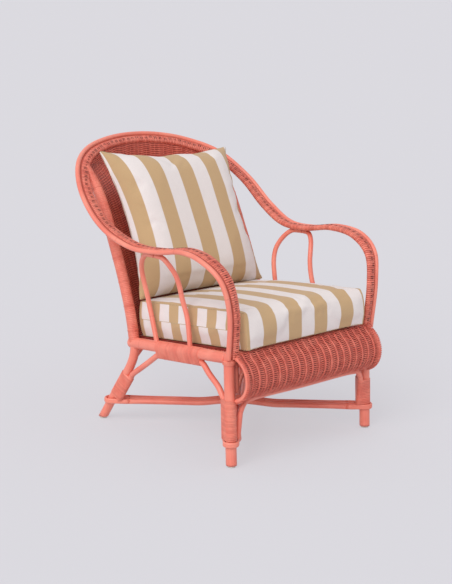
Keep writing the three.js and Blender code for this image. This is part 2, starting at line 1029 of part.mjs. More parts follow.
addPiece(
  "apron_bottom_rod",
  "pole",
  (grow) => {
    const rod = pole(curve(apronRodPoints()), apronRodDiameter, apronRodStations, thinSides, grow);
    return trimmedBelow(rod, bundleFoot - grow);
  },
  ["front_leg_wrap_left", "front_leg_wrap_right", "front_leg_left", "front_leg_right"],
);

for (const [name, side] of sides) {
  addPiece(
    `apron_rim_${name}`,
    "pole",
    (grow) => {
      const points = [];
      for (let i = 0; i <= apronStations; i++) {
        points.push(point(side * apronRimX, ...apronPoint(0, i / apronStations)));
      }
      return pole(curve(points), apronRimDiameter, loopStations, thinSides, grow);
    },
    [
      `front_leg_${name}`,
      `front_leg_wrap_${name}`,
      "apron_bottom_rod",
      "bow_wrapped_band",
      "bow_outer_pole",
    ],
  );
}

addPiece(
  "apron_top_rod",
  "pole",
  (grow) => {
    const path = curve([-1, 0, 1].map((side) => point(side * apronRimX, apronTopRodY, apronTopHeight)));
    return pole(path, apronTopRodDiameter, straightStations, thinSides, grow);
  },
  [
    "front_rail",
    "front_leg_left",
    "front_leg_right",
    "bow_wrapped_band",
    "bow_outer_pole",
    "apron_rim_left",
    "apron_rim_right",
  ],
);

// The woven skin of the apron, a thin half-round shell between the rims
const apronTrimShare = 0.02;

addPiece(
  "apron_panel",
  "weave",
  (grow) => {
    const half = apronRimX - apronRimDiameter / 2 - clearance;
    const weave = { stakes: apronStakes, rows: apronSkinStations, thickness: apronThickness };
    return wovenSkin({ ...weave, ribHeight: apronRibHeight, grow }, (across, up, lift) => {
      const share = mix(1 - apronTrimShare, apronTrimShare, up);
      return point(mix(-half, half, across), ...apronPoint(lift, share));
    });
  },
  [
    "apron_top_rod",
    "apron_bottom_rod",
    "front_rail",
    "front_leg_left",
    "front_leg_right",
    "apron_rim_left",
    "apron_rim_right",
    "bow_wrapped_band",
  ],
);

// Collars: a turn of cane round the top of each front leg and the foot of the bow

const collarHeight = 12;
const collarRise = 12;

function collarSections(side) {
  const top = frontRailHeight - railDiameter / 2 + collarRise;
  return [top - collarHeight, top].map((z) => {
    const leg = frontLegCentre(z);
    return {
      origin: point(side * leg.x, leg.y, leg.z),
      across: xAxis,
      up: yAxis,
      circles: [
        { centre: [0, 0], radius: frontLegDiameter / 2 },
        { centre: [-side * innerPoleOffset, 0], radius: innerPoleDiameter / 2 },
      ],
    };
  });
}

for (const [name, side] of sides) {
  addPiece(`front_leg_collar_${name}`, "cane", (grow) => sleeve(collarSections(side), grow), [
    `front_leg_${name}`,
    `side_rail_${name}`,
    "front_rail",
    `front_inner_pole_${name}`,
    `apron_rim_${name}`,
    "apron_top_rod",
    "apron_panel",
  ]);
}

// Back panel: a woven shell, barrelled backwards, from the rear rail up to the hoop
const panelLift = crossRailDiameter / 2;
const panelTuck = bowBandThickness / 4;

const postPath = curve(postPoints());

// The centre of the right back post at height z
function postAt(z) {
  return postPath.getPoint(placeWhere((t) => postPath.getPoint(t).z, z, 0, 1));
}

// A point of the middle surface; `across` runs -1 to 1 and `up` 0 to 1
function panelPoint(across, up) {
  const hoop = bowFrame(hoopPlace(postTopShare * frontHalfTrack * Math.abs(across)));
  const top = hoop.centre.clone().addScaledVector(hoop.outward, panelTuck - hoop.width / 2);
  const foot = rearRailPoint(across);
  const z = mix(foot.z + panelLift, top.z, up);
  const post = postAt(z);
  const behindPost = mix(foot.y - rearY, top.y - postAt(top.z).y, up);
  return point(across * post.x, post.y + behindPost, z);
}

addPiece(
  "back_panel",
  "weave",
  (grow) => {
    const weave = { stakes: backPanelStakes, rows: panelRows, thickness: backPanelThickness };
    return wovenSkin({ ...weave, ribHeight: backPanelRibHeight, grow }, (across, up, lift) =>
      panelPoint(mix(-1, 1, across), up).add(point(0, lift, 0)),
    );
  },
  [
    "rear_rail",
    "back_post_left",
    "back_post_right",
    "bow_wrapped_band",
    "bow_outer_pole",
    "side_rail_left",
    "side_rail_right",
  ],
);

// Seat deck on three bars between the side rails

const deckHalfWidth = rearHalfTrack - railDiameter / 2 - clearance;
const seatAngle = Math.atan2(frontRailHeight - rearRailHeight, seatDepth);
const deckDrop = railDiameter / 2 - clearance;
const deckBarShares = [0.25, 0.5, 0.75];

// Lays a body made flat, centred on the origin, along the slope of the seat at the share of the depth
function onSeat(geometry, share, lift) {
  const y = mix(frontY, rearY, share);
  const matrix = new THREE.Matrix4().makeRotationX(-seatAngle);
  matrix.setPosition(
    0,
    y + lift * Math.sin(seatAngle),
    railHeightAt(y) + lift * Math.cos(seatAngle),
  );
  geometry.applyMatrix4(matrix);
  return geometry;
}

for (const [i, share] of deckBarShares.entries()) {
  addPiece(
    `seat_bar_${i + 1}`,
    "pole",
    (grow) => {
      const y = mix(frontY, rearY, share);
      const z = railHeightAt(y) + deckDrop - deckThickness - clearance - deckBarDiameter / 2;
      const path = curve([-1, 0, 1].map((side) => point(side * railHalfTrackAt(y), y, z)));
      return pole(path, deckBarDiameter, straightStations, thinSides, grow);
    },
    [
      "side_rail_left",
      "side_rail_right",
      "side_rail_wrap_left",
      "side_rail_wrap_right",
    ],
  );
}

addPiece(
  "seat_deck",
  "weave",
  (grow) => {
    const overhang = clearance + grow;
    const geometry = new THREE.BoxGeometry(
      2 * (deckHalfWidth + grow),
      seatDepth + overhang,
      deckThickness + 2 * grow,
    );
    return toSolid(onSeat(geometry, 1 / 2, deckDrop - deckThickness / 2));
  },
  [
    "front_rail",
    "rear_rail",
    "side_rail_left",
    "side_rail_right",
    "front_leg_left",
    "front_leg_right",
    "back_post_left",
    "back_post_right",
    "seat_bar_1",
    "seat_bar_2",
    "seat_bar_3",
    "apron_top_rod",
    "bow_wrapped_band",
    "rear_leg_left",
    "rear_leg_right",
    "back_panel",
  ],
);

// Foot glides

const feet = [
  ["front", frontLegCentre(0)],
  ["rear", rearLegCentre(glideHeight)],
];

for (const [end, foot] of feet) {
  for (const [name, side] of sides) {
    addPiece(`foot_glide_${end}_${name}`, "glide", () => {
      const radius = glideDiameter / 2;
      const profile = [
        [0, 0],
        [radius - glideHeight / 4, 0],
        [radius, glideHeight / 3],
        [radius, glideHeight],
        [0, glideHeight],
      ];
      const geometry = new THREE.LatheGeometry(
        profile.map(([r, z]) => new THREE.Vector2(r, z)),
        poleSides + thinSides,
      );
      geometry.rotateX(Math.PI / 2);
      geometry.translate(side * foot.x, foot.y, 0);
      return toSolid(geometry);
    });
  }
}

// Cushions

// A block of cells from -1 to 1 each way, swollen into a cushion by `place(u, v, w)`
const blockSpan = 2;

function swollen(cells, deepCells, place) {
  const geometry = new THREE.BoxGeometry(blockSpan, blockSpan, blockSpan, cells, cells, deepCells);
  const position = geometry.attributes.position;
  for (let i = 0; i < position.count; i++) {
    const p = place(position.getX(i), position.getY(i), position.getZ(i));
    position.setXYZ(i, ...p);
  }
  return geometry;
}

const cornerRoundShare = 0.035;
const cornerPower = 8;
const sideBulge = 9;
const sideDraw = 7;

function seatCushion() {
  const [a, b, t] = [seatCushionWidth / 2, seatCushionDepth / 2, seatCushionThickness / 2];
  return swollen(cushionCells, cushionDeepCells, (u, v, w) => {
    const corner = 1 - cornerRoundShare * (u * v) ** cornerPower;
    const bulge = sideBulge * (1 - w * w);
    const crown = Math.max(w, 0) * seatCushionCrown * (1 - u ** 4) * (1 - v ** 2);
    return [
      u * corner * (a - sideBulge + bulge - sideDraw * (1 - v * v)),
      v * corner * (b - sideBulge + bulge - sideDraw * (1 - u * u)),
      w * t + crown,
    ];
  });
}

const seatCushionLift = deckDrop + clearance + seatCushionThickness / 2;
const seatCushionShare = 1 - (seatCushionDepth / 2 - seatCushionTuck) / seatDepth;

addPiece(
  "seat_cushion",
  "canvas",
  () => toSolid(onSeat(seatCushion(), seatCushionShare, seatCushionLift)),
);

const pillowPower = 0.45;
const pillowEdgeDraw = 26;
const pillowFootDraw = 5;

function backCushion() {
  const [a, b] = [backCushionWidth / 2, backCushionHeight / 2];
  return swollen(cushionCells, cushionDeepCells, (u, v, w) => {
    const full = ((1 - u ** 4) * (1 - v ** 4)) ** pillowPower;
    const half = mix(backCushionEdge, backCushionThickness, full) / 2;
    const draw = v < 0 ? pillowFootDraw : pillowEdgeDraw;
    return [
      u * (a - pillowEdgeDraw * (1 - v * v) * Math.abs(u)),
      v * (b - draw * (1 - u * u) * Math.abs(v)),
      w * half,
    ];
  });
}

// Moves a body along `way` until it lies `clearance` off the nearest of the other bodies.
// The back cushion is lowered and pushed back in turn, so that it ends on the seat and against the back.
function settled(solid, way, reach, others) {
  const moved = (distance) => solid.translate(way.clone().multiplyScalar(distance).toArray());
  const gap = (distance) => Math.min(...others.map((other) => moved(distance).minGap(other, reach)));
  return moved(placeWhere((distance) => -gap(distance), -clearance, 0, reach));
}

const backCushionFootShare = 0.947;
const backCushionLift = 20;
const backCushionRoom = 60;
const backCushionStep = 12;
const backCushionNudge = 2;
const downwards = point(0, 0, -1);

addPiece("back_cushion", "canvas", () => {
  const geometry = backCushion();
  const slope = panelPoint(0, 1).sub(panelPoint(0, 0));
  const lean = Math.atan2(slope.y, slope.z) - THREE.MathUtils.degToRad(backCushionUprightDegrees);
  const footY = mix(frontY, rearY, backCushionFootShare);
  const foot = railHeightAt(footY) + seatCushionLift + seatCushionThickness / 2 + backCushionLift;
  const half = backCushionHeight / 2;
  const matrix = new THREE.Matrix4().makeRotationX(Math.PI / 2 - lean);
  matrix.setPosition(0, footY + half * Math.sin(lean), foot + half * Math.cos(lean));
  geometry.applyMatrix4(matrix);
  const [seat, back] = ["seat_cushion", "back_panel"].map((name) => shapes.get(name)(0));
  return [backCushionRoom, backCushionStep, backCushionNudge].reduce((solid, room) => {
    const lifted = solid.translate([0, -room, backCushionLift]);
    const lowered = settled(lifted, downwards, 2 * backCushionRoom, [seat]);
    return settled(lowered, yAxis, 2 * backCushionRoom, [back]);
  }, toSolid(geometry));
});

// The origin is on the floor under the middle of the whole chair
const middle = new THREE.Box3().setFromObject(group).getCenter(new THREE.Vector3());
group.position.set(-middle.x, -middle.y, 0);

export default group;
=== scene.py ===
"""Rattan armchair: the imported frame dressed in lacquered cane, woven panels and striped canvas cushions."""

import logging
import math
from dataclasses import dataclass, field
from enum import Enum
from typing import Iterable, Optional, Sequence

import bpy
import numpy as np
from mathutils import Matrix, Vector


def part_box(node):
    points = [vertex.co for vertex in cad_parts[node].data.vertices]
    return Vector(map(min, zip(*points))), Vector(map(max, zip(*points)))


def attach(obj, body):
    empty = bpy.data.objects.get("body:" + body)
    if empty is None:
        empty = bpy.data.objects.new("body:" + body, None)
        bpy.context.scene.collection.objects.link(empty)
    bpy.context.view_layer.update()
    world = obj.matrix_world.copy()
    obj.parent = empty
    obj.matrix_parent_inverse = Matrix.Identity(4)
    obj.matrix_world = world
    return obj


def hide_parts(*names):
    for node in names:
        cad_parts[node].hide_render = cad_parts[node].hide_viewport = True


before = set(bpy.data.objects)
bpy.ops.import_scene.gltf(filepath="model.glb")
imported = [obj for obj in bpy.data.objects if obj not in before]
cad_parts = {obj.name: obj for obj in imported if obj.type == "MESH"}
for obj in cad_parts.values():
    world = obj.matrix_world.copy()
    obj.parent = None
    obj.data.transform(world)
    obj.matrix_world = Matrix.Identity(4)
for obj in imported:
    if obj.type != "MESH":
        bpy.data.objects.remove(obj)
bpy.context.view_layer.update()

MM = 0.001
log = logging.getLogger("armchair")


def linked(name: str, data: bpy.types.ID) -> bpy.types.Object:
    """A new object of the data, in the scene.

    Args:
        name: The object's name.
        data: Its mesh, light or camera.

    Returns:
        The object.
    """
    made = bpy.data.objects.new(name, data)
    bpy.context.scene.collection.objects.link(made)
    return made


def set_numbers(mesh: bpy.types.Mesh, label: str, numbers: np.ndarray) -> None:
    """Gives each vertex of a mesh its number, as an attribute."""
    attribute = mesh.attributes.new(label, "FLOAT", "POINT")
    attribute.data.foreach_set("value", np.asarray(numbers, dtype=np.float32))


def direction(azimuth: float, elevation: float) -> Vector:
    """The way from the chair at so many degrees to the right of its front and above the floor."""
    turn, rise = math.radians(azimuth), math.radians(elevation)
    return Vector((math.sin(turn) * math.cos(rise), -math.cos(turn) * math.cos(rise), math.sin(rise)))


class Side(Enum):
    """The two sides of the chair, as the person sees them who looks at its front."""

    LEFT = -1
    RIGHT = 1

    @property
    def word(self) -> str:
        """The side's name as it stands in the names of the pieces."""
        return self.name.lower()


def linear(colour: str) -> tuple[float, float, float, float]:
    """Turns an sRGB colour into the linear values that shaders take.

    Args:
        colour: Six hexadecimal digits after a hash.

    Returns:
        Red, green, blue and an alpha of 1.
    """
    values = [int(colour[i:i + 2], 16) / 255 for i in (1, 3, 5)]
    curve = [v / 12.92 if v <= 0.04045 else ((v + 0.055) / 1.055) ** 2.4 for v in values]
    return (*curve, 1.0)


def add_node(tree: bpy.types.NodeTree, kind: str, inputs: Optional[dict] = None,
             stops: Sequence[tuple[float, str]] = (), **settings) -> bpy.types.Node:
    """Adds a node with its settings and links.

    Args:
        tree: The node tree that it goes into.
        kind: The node's type name.
        inputs: Values or output sockets by input name or number.
        stops: Places and colours, where the node is a colour ramp.
        **settings: Properties of the node.

    Returns:
        The new node.
    """
    made = tree.nodes.new(kind)
    for name, value in settings.items():
        setattr(made, name, value)
    for key, value in (inputs or {}).items():
        if isinstance(value, bpy.types.NodeSocket):
            tree.links.new(value, made.inputs[key])
        else:
            made.inputs[key].default_value = value
    for i, (place, colour) in enumerate(stops):
        ramp = made.color_ramp.elements
        stop = ramp[i] if i < len(ramp) else ramp.new(place)
        stop.position = place
        stop.color = linear(colour)
    return made


def mix(start: float, end: float, share: float) -> float:
    """The value at the share of the way from start to end."""
    return start + (end - start) * share


def part_way(rows: np.ndarray, share: float) -> np.ndarray:
    """The value at a share of the way through evenly placed rows.

    Args:
        rows: The rows.
        share: 0 at the first row, 1 at the last.

    Returns:
        The value between the two nearest rows.
    """
    place = share * (len(rows) - 1)
    lower = min(int(place), max(len(rows) - 2, 0))
    upper = min(lower + 1, len(rows) - 1)
    return rows[lower] + (rows[upper] - rows[lower]) * (place - lower)


def smoothstep(value: np.ndarray, low: float, high: float) -> np.ndarray:
    """0 below low, 1 above high and an even S between them."""
    share = np.clip((value - low) / (high - low), 0, 1)
    return share * share * (3 - 2 * share)


def unit(vectors: np.ndarray) -> np.ndarray:
    """The vectors with a length of 1."""
    return vectors / np.maximum(np.linalg.norm(vectors, axis=-1, keepdims=True), 1e-9)


def belt(circles: Sequence[tuple[float, float, float]], count: int) -> tuple[np.ndarray, np.ndarray]:
    """The outline of a band drawn tight round circles.

    Args:
        circles: Centre u, centre v and radius of each.
        count: How many points the outline has.

    Returns:
        The points and the outward directions, both count by 2.
    """
    way = round_way(count)
    rings = np.array(circles)
    reach = way @ rings[:, :2].T + rings[:, 2]
    far = rings[np.argmax(reach, axis=1)]
    return far[:, :2] + way * far[:, 2:], way


def spread(outline: np.ndarray, across: np.ndarray, up: np.ndarray) -> np.ndarray:
    """A flat outline's points, laid along two directions in space."""
    return outline[:, :1] * across + outline[:, 1:] * up


def round_way(count: int) -> np.ndarray:
    """The directions from the middle of a circle to that many points, count by 2."""
    angle = 2 * np.pi * np.arange(count) / count
    return np.stack([np.cos(angle), np.sin(angle)], axis=1)


class Path:
    """A smooth curve through points in millimetres, walked by its length."""

    look = 2.0

    def __init__(self, points: Sequence, closed: bool = False, detail: int = 24) -> None:
        """Draws a centripetal curve through the points.

        Args:
            points: The points, each x, y, z.
            closed: Whether the curve runs back to its first point.
            detail: Steps between two points.
        """
        given = np.array(points, dtype=float)
        if closed:
            padded = np.concatenate([given[-1:], given, given[:2]])
        else:
            padded = np.concatenate([[2 * given[0] - given[1]], given, [2 * given[-1] - given[-2]]])
        spans = np.linalg.norm(np.diff(padded, axis=0), axis=1) ** 0.5
        t = np.arange(detail)[:, None] / detail
        pieces = []
        for i in range(len(padded) - 3):
            p0, p1, p2, p3 = padded[i:i + 4]
            d0, d1, d2 = spans[i:i + 3]
            m1 = ((p1 - p0) / d0 - (p2 - p0) / (d0 + d1) + (p2 - p1) / d1) * d1
            m2 = ((p2 - p1) / d1 - (p3 - p1) / (d1 + d2) + (p3 - p2) / d2) * d1
            pieces.append(p1 + m1 * t + (3 * (p2 - p1) - 2 * m1 - m2) * t**2
                          + (2 * (p1 - p2) + m1 + m2) * t**3)
        pieces.append(padded[-2:-1])
        self.dense = np.concatenate(pieces)
        steps = np.linalg.norm(np.diff(self.dense, axis=0), axis=1)
        self.marks = np.concatenate([[0], np.cumsum(steps)])
        self.length = float(self.marks[-1])

    def at(self, share: np.ndarray) -> np.ndarray:
        """The points at shares of the length."""
        marks = np.asarray(share) * self.length
        return np.stack([np.interp(marks, self.marks, self.dense[:, k]) for k in range(3)], axis=-1)

    def heading(self, share: np.ndarray) -> np.ndarray:
        """The unit directions of the curve at shares of the length, from just behind to just ahead.

        Args:
            share: Shares of the length.

        Returns:
            One direction a share.
        """
        reach = self.look / self.length
        low = np.clip(np.asarray(share) - reach, 0, 1)
        high = np.clip(np.asarray(share) + reach, 0, 1)
        return unit(self.at(high) - self.at(low))

    def sided(self, side: Side) -> "Path":
        """The same curve on the wanted side; it is drawn on the right.

        Args:
            side: The wanted side.

        Returns:
            The curve or its mirror image.
        """
        other = object.__new__(Path)
        other.marks, other.length = self.marks, self.length
        other.dense = self.dense * [side.value, 1, 1]
        return other

    def frames(self, shares: np.ndarray) -> tuple[np.ndarray, np.ndarray, np.ndarray]:
        """Points with two directions square to the curve, turned as little as possible.

        Args:
            shares: Shares of the length, rising.

        Returns:
            The points and the two directions, each one row a share.
        """
        points, ahead = self.at(shares), self.heading(shares)
        first = np.cross(ahead[0], [0.3, 0.2, 1.0] if abs(ahead[0][2]) < 0.8 else [1.0, 0.2, 0.1])
        across = [first / np.linalg.norm(first)]
        for step in ahead[1:]:
            kept = across[-1] - step * np.dot(across[-1], step)
            across.append(kept / np.linalg.norm(kept))
        normals = np.array(across)
        return points, normals, np.cross(ahead, normals)


def mesh_object(name: str, points: np.ndarray, faces: Sequence, corners: Optional[np.ndarray] = None,
                values: Optional[dict[str, np.ndarray]] = None) -> bpy.types.Object:
    """Makes a smooth-shaded mesh object at the origin.

    Args:
        name: The piece's name.
        points: Vertices in millimetres.
        faces: Lists of vertex numbers.
        corners: The UV map, one row a face corner, in metres.
        values: Numbers for each vertex, by attribute name.

    Returns:
        The object, linked into the scene.
    """
    mesh = bpy.data.meshes.new(name)
    mesh.from_pydata((np.asarray(points) * MM).tolist(), [], [list(map(int, f)) for f in faces])
    mesh.polygons.foreach_set("use_smooth", [True] * len(mesh.polygons))
    if corners is not None:
        layer = mesh.uv_layers.new(name="cane")
        layer.data.foreach_set("uv", np.asarray(corners, dtype=np.float32).ravel())
    for label, numbers in (values or {}).items():
        set_numbers(mesh, label, numbers)
    mesh.update()
    return linked(name, mesh)


def skin(name: str, rings: np.ndarray, along: np.ndarray, closed: bool = False,
         ring_values: Optional[np.ndarray] = None) -> bpy.types.Object:
    """A closed surface through rings of equal count, with flat ends where it isn't a loop.

    Args:
        name: The piece's name.
        rings: Stations by points by 3, in millimetres.
        along: Length at each station, in millimetres.
        closed: Whether the last ring joins the first.
        ring_values: One number a station, kept as the attribute "ring".

    Returns:
        The object.
    """
    stations, count = rings.shape[:2]
    girth = float(np.linalg.norm(np.diff(rings[0], axis=0, append=rings[0][:1]), axis=1).sum())
    spans = stations if closed else stations - 1
    i = np.repeat(np.arange(spans), count)
    k = np.tile(np.arange(count), spans)
    k2, i2 = (k + 1) % count, (i + 1) % stations
    quads = np.stack([i * count + k, i * count + k2, i2 * count + k2, i2 * count + k], axis=1)
    end = np.where(i2 == 0, along[-1] * (stations / (stations - 1)), along[i2])
    u0, u1 = k / count * girth * MM, (k + 1) / count * girth * MM
    corners = np.stack([np.stack([u0, along[i] * MM], 1), np.stack([u1, along[i] * MM], 1),
                        np.stack([u1, end * MM], 1), np.stack([u0, end * MM], 1)], axis=1)
    points = rings.reshape(-1, 3)
    faces = quads.tolist()
    maps = [corners.reshape(-1, 2)]
    values = np.repeat(ring_values if ring_values is not None else np.zeros(stations), count)
    if not closed:
        for ring, order, mark in ((0, -1, along[0]), (stations - 1, 1, along[-1])):
            for a in range(count // 2 - 1):
                cap = [a, a + 1, count - 2 - a, count - 1 - a][::order]
                faces.append([ring * count + b for b in cap])
                maps.append(np.full((4, 2), mark * MM))
    return mesh_object(name, points, faces, np.concatenate(maps), {"ring": values})


def dress(piece: bpy.types.Object, finish: "Finish", body: str = "frame",
          nodes: Iterable[str] = ()) -> bpy.types.Object:
    """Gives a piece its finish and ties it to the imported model.

    Args:
        piece: The piece, in place.
        finish: What it is finished in.
        body: The body that it rides on.
        nodes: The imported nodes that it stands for.

    Returns:
        The piece.
    """
    if not piece.data.materials or piece.data.materials[0] is None:
        piece.data.materials.clear()
        piece.data.materials.append(finish.material())
    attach(piece, body)
    names = list(nodes)
    if names:
        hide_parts(*names)
    return piece


class Finish:
    """A surface finish: its slot in the record and a material that is made once."""

    slot = ""

    def material(self) -> bpy.types.Material:
        """The material, made on first use.

        Returns:
            The material.
        """
        name = type(self).__name__
        found = bpy.data.materials.get(name)
        if found is None:
            found = bpy.data.materials.new(name)
            found.use_nodes = True
            found.node_tree.nodes.clear()
            self.draw(found.node_tree)
        return found

    def draw(self, tree: bpy.types.NodeTree) -> None:
        """Draws the nodes into an empty tree."""
        raise NotImplementedError

    def clouded(self, tree: bpy.types.NodeTree, size: float, detail: float,
                stops: tuple) -> tuple[bpy.types.NodeSocket, bpy.types.NodeSocket]:
        """Clouds through the whole piece and the tones that they blend.

        Args:
            tree: The material's node tree.
            size: Size of a cloud in metres.
            detail: How many finer layers the clouds have.
            stops: Places and colours of the tones.

        Returns:
            The clouds' and the colour's outputs.
        """
        place = add_node(tree, "ShaderNodeTexCoord")
        clouds = add_node(tree, "ShaderNodeTexNoise",
                          {"Vector": place.outputs["Object"], "Scale": 1 / size, "Detail": detail})
        tone = add_node(tree, "ShaderNodeValToRGB", {"Fac": clouds.outputs["Fac"]}, stops=stops)
        return clouds.outputs["Fac"], tone.outputs["Color"]

    def deepened(self, tree: bpy.types.NodeTree, label: str, colour: bpy.types.NodeSocket,
                 deep: str) -> bpy.types.NodeSocket:
        """A colour that turns deeper where an attribute of the mesh says so.

        Args:
            tree: The material's node tree.
            label: The attribute's name.
            colour: The colour where it is 0.
            deep: The colour where it is 1.

        Returns:
            The blended colour's output.
        """
        share = add_node(tree, "ShaderNodeAttribute", attribute_name=label)
        blend = add_node(tree, "ShaderNodeMix", {"Factor": share.outputs["Fac"], 6: colour, 7: linear(deep)},
                         data_type="RGBA")
        return blend.outputs[2]

    def close(self, tree: bpy.types.NodeTree, inputs: dict) -> None:
        """Adds the shader, with its inputs, and the output."""
        shader = add_node(tree, "ShaderNodeBsdfPrincipled", inputs)
        add_node(tree, "ShaderNodeOutputMaterial", {"Surface": shader.outputs["BSDF"]})


@dataclass(frozen=True)
class LacqueredPole(Finish):
    """Peeled cane pole, scraped smooth and sprayed with coral lacquer: satin, with faint grain and rings."""

    slot = "pole"
    light: str = "#F6937D"
    base: str = "#ED7E6A"
    ring: str = "#B5483F"
    grain_width: float = 1.6 * MM
    grain_length: float = 60 * MM
    cloud: float = 90 * MM

    def draw(self, tree: bpy.types.NodeTree) -> None:
        """Coral clouds, long grain and darker rings at the joints of the cane.

        Args:
            tree: The material's node tree.
        """
        tone = self.clouded(tree, self.cloud, 3.0, ((0.35, self.base), (0.65, self.light)))[1]
        place = add_node(tree, "ShaderNodeTexCoord")
        stretch = add_node(tree, "ShaderNodeMapping", {
            "Vector": place.outputs["UV"], "Scale": (1 / self.grain_width, 1 / self.grain_length, 1.0)})
        grain = add_node(tree, "ShaderNodeTexNoise",
                         {"Vector": stretch.outputs["Vector"], "Scale": 1.0, "Detail": 2.0})
        streak = add_node(tree, "ShaderNodeMapRange", {
            "Value": grain.outputs["Fac"], "From Min": 0.3, "From Max": 0.62, "To Min": 0.9, "To Max": 1.0})
        veined = add_node(tree, "ShaderNodeVectorMath", {
            0: tone, "Scale": streak.outputs["Result"]}, operation="SCALE")
        bump = add_node(tree, "ShaderNodeBump", {
            "Height": grain.outputs["Fac"], "Strength": 0.12, "Distance": 0.4 * MM})
        self.close(tree, {
            "Base Color": self.deepened(tree, "ring", veined.outputs["Vector"], self.ring),
            "Roughness": 0.42, "Normal": bump.outputs["Normal"],
            "Coat Weight": 0.25, "Coat Roughness": 0.3, "Specular IOR Level": 0.4})


@dataclass(frozen=True)
class LacqueredStrip(Finish):
    """Flat strips of cane skin wound round the poles and lacquered over: satin, none quite like another."""

    slot = "cane"
    light: str = "#F38E78"
    base: str = "#E87864"
    deep: str = "#8A2A24"
    cloud: float = 35 * MM

    def draw(self, tree: bpy.types.NodeTree) -> None:
        """Clouds of coral, darkened where a strip's own tint says so.

        Args:
            tree: The material's node tree.
        """
        clouds, tone = self.clouded(tree, self.cloud, 4.0, ((0.35, self.base), (0.65, self.light)))
        bump = add_node(tree, "ShaderNodeBump", {"Height": clouds, "Strength": 0.15, "Distance": 0.5 * MM})
        self.close(tree, {
            "Base Color": self.deepened(tree, "tint", tone, self.deep),
            "Roughness": 0.5, "Normal": bump.outputs["Normal"],
            "Coat Weight": 0.15, "Coat Roughness": 0.35, "Specular IOR Level": 0.4})


@dataclass(frozen=True)
class WovenStrand(LacqueredStrip):
    """Round cane strands woven over stakes and lacquered, each a little darker at random; the deeper red in
    the hollows is the painted-shade ground showing through.
    """

    slot = "weave"
    light: str = "#EF8672"
    base: str = "#E06E5C"
    deep: str = "#6E1F1A"
    cloud: float = 25 * MM


@dataclass(frozen=True)
class ShadedCore(LacqueredStrip):
    """The ground under windings and weave, and the listing's stitches: a deep red with little gloss, painted
    shade for the hollows and slots that light barely reaches.
    """

    slot = "weave"
    light: str = "#8E352C"
    base: str = "#742620"
    deep: str = "#4A1512"
    cloud: float = 20 * MM


@dataclass(frozen=True)
class DimCore(LacqueredStrip):
    """The ground under the bow's windings and behind the back's weave: a middling red, painted half-shade for
    where some light falls.
    """

    slot = "weave"
    light: str = "#B9523F"
    base: str = "#A34534"
    deep: str = "#6A2019"
    cloud: float = 20 * MM


@dataclass(frozen=True)
class MouldedGlide(Finish):
    """Moulded polyethylene foot, dulled by the floor: a pale, slightly mottled matt surface."""

    slot = "glide"
    clean: str = "#DAD6CD"
    worn: str = "#B9B2A6"
    speck: float = 4 * MM

    def draw(self, tree: bpy.types.NodeTree) -> None:
        """Pale plastic with worn patches.

        Args:
            tree: The material's node tree.
        """
        specks, tone = self.clouded(tree, self.speck, 3.0, ((0.4, self.clean), (0.75, self.worn)))
        bump = add_node(tree, "ShaderNodeBump", {"Height": specks, "Strength": 0.2, "Distance": 0.2 * MM})
        self.close(tree, {"Base Color": tone, "Roughness": 0.55, "Normal": bump.outputs["Normal"]})


@dataclass(frozen=True)
class StripedCanvas(Finish):
    """Plain-woven cotton canvas with printed stripes: matt, slightly fuzzy and uneven in its threads."""

    slot = "canvas"
    beige: str = "#C2A278"
    white: str = "#E4DCD8"
    # Real threads lie about 0.6 mm apart, too fine to show here, so they are drawn this coarse.
    thread: float = 1.3 * MM
    crumple: float = 34 * MM

    def draw(self, tree: bpy.types.NodeTree) -> None:
        """Stripes and threads on the cloth's own map, whose u counts stripe widths.

        Args:
            tree: The material's node tree.
        """
        cloth = add_node(tree, "ShaderNodeUVMap", uv_map="cane")
        split = add_node(tree, "ShaderNodeSeparateXYZ", {"Vector": cloth.outputs["UV"]})
        wave = add_node(tree, "ShaderNodeMath", {0: split.outputs["X"], 1: math.pi}, operation="MULTIPLY")
        sine = add_node(tree, "ShaderNodeMath", {0: wave.outputs[0]}, operation="SINE")
        edge = add_node(tree, "ShaderNodeMapRange", {
            "Value": sine.outputs[0], "From Min": -0.05, "From Max": 0.05, "To Min": 0.0, "To Max": 1.0})
        stripes = add_node(tree, "ShaderNodeMix", {
            "Factor": edge.outputs["Result"], 6: linear(self.beige), 7: linear(self.white)},
            data_type="RGBA")
        place = add_node(tree, "ShaderNodeTexCoord")
        slub = add_node(tree, "ShaderNodeTexNoise", {
            "Vector": place.outputs["Object"], "Scale": 1 / self.thread, "Detail": 3.0, "Roughness": 0.6})
        shade = add_node(tree, "ShaderNodeMapRange", {
            "Value": slub.outputs["Fac"], "From Min": 0.3, "From Max": 0.7, "To Min": 0.93, "To Max": 1.03})
        worn = add_node(tree, "ShaderNodeVectorMath", {
            0: stripes.outputs[2], "Scale": shade.outputs["Result"]}, operation="SCALE")
        folds = add_node(tree, "ShaderNodeTexNoise", {
            "Vector": place.outputs["Object"], "Scale": 1 / self.crumple, "Detail": 3.0})
        soft = add_node(tree, "ShaderNodeBump", {
            "Height": folds.outputs["Fac"], "Strength": 0.35, "Distance": 4 * MM})
        bump = add_node(tree, "ShaderNodeBump", {
            "Height": slub.outputs["Fac"], "Strength": 0.3, "Distance": 0.4 * MM,
            "Normal": soft.outputs["Normal"]})
        self.close(tree, {
            "Base Color": worn.outputs["Vector"], "Roughness": 0.9, "Normal": bump.outputs["Normal"],
            "Specular IOR Level": 0.2, "Sheen Weight": 0.15, "Sheen Roughness": 0.6})


@dataclass(frozen=True)
class SewnSeam(Finish):
    """A thin strip along each seam in darker canvas colours: painted shade of the line where the cloth turns
    in at the stitches.
    """

    slot = "canvas"
    light: str = "#C6B08C"
    base: str = "#A8926E"
    stitch: float = 3 * MM

    def draw(self, tree: bpy.types.NodeTree) -> None:
        """Darker and lighter by turns, as stitches pull."""
        tone = self.clouded(tree, self.stitch, 2.0, ((0.4, self.base), (0.6, self.light)))[1]
        self.close(tree, {"Base Color": tone, "Roughness": 0.9, "Specular IOR Level": 0.2})


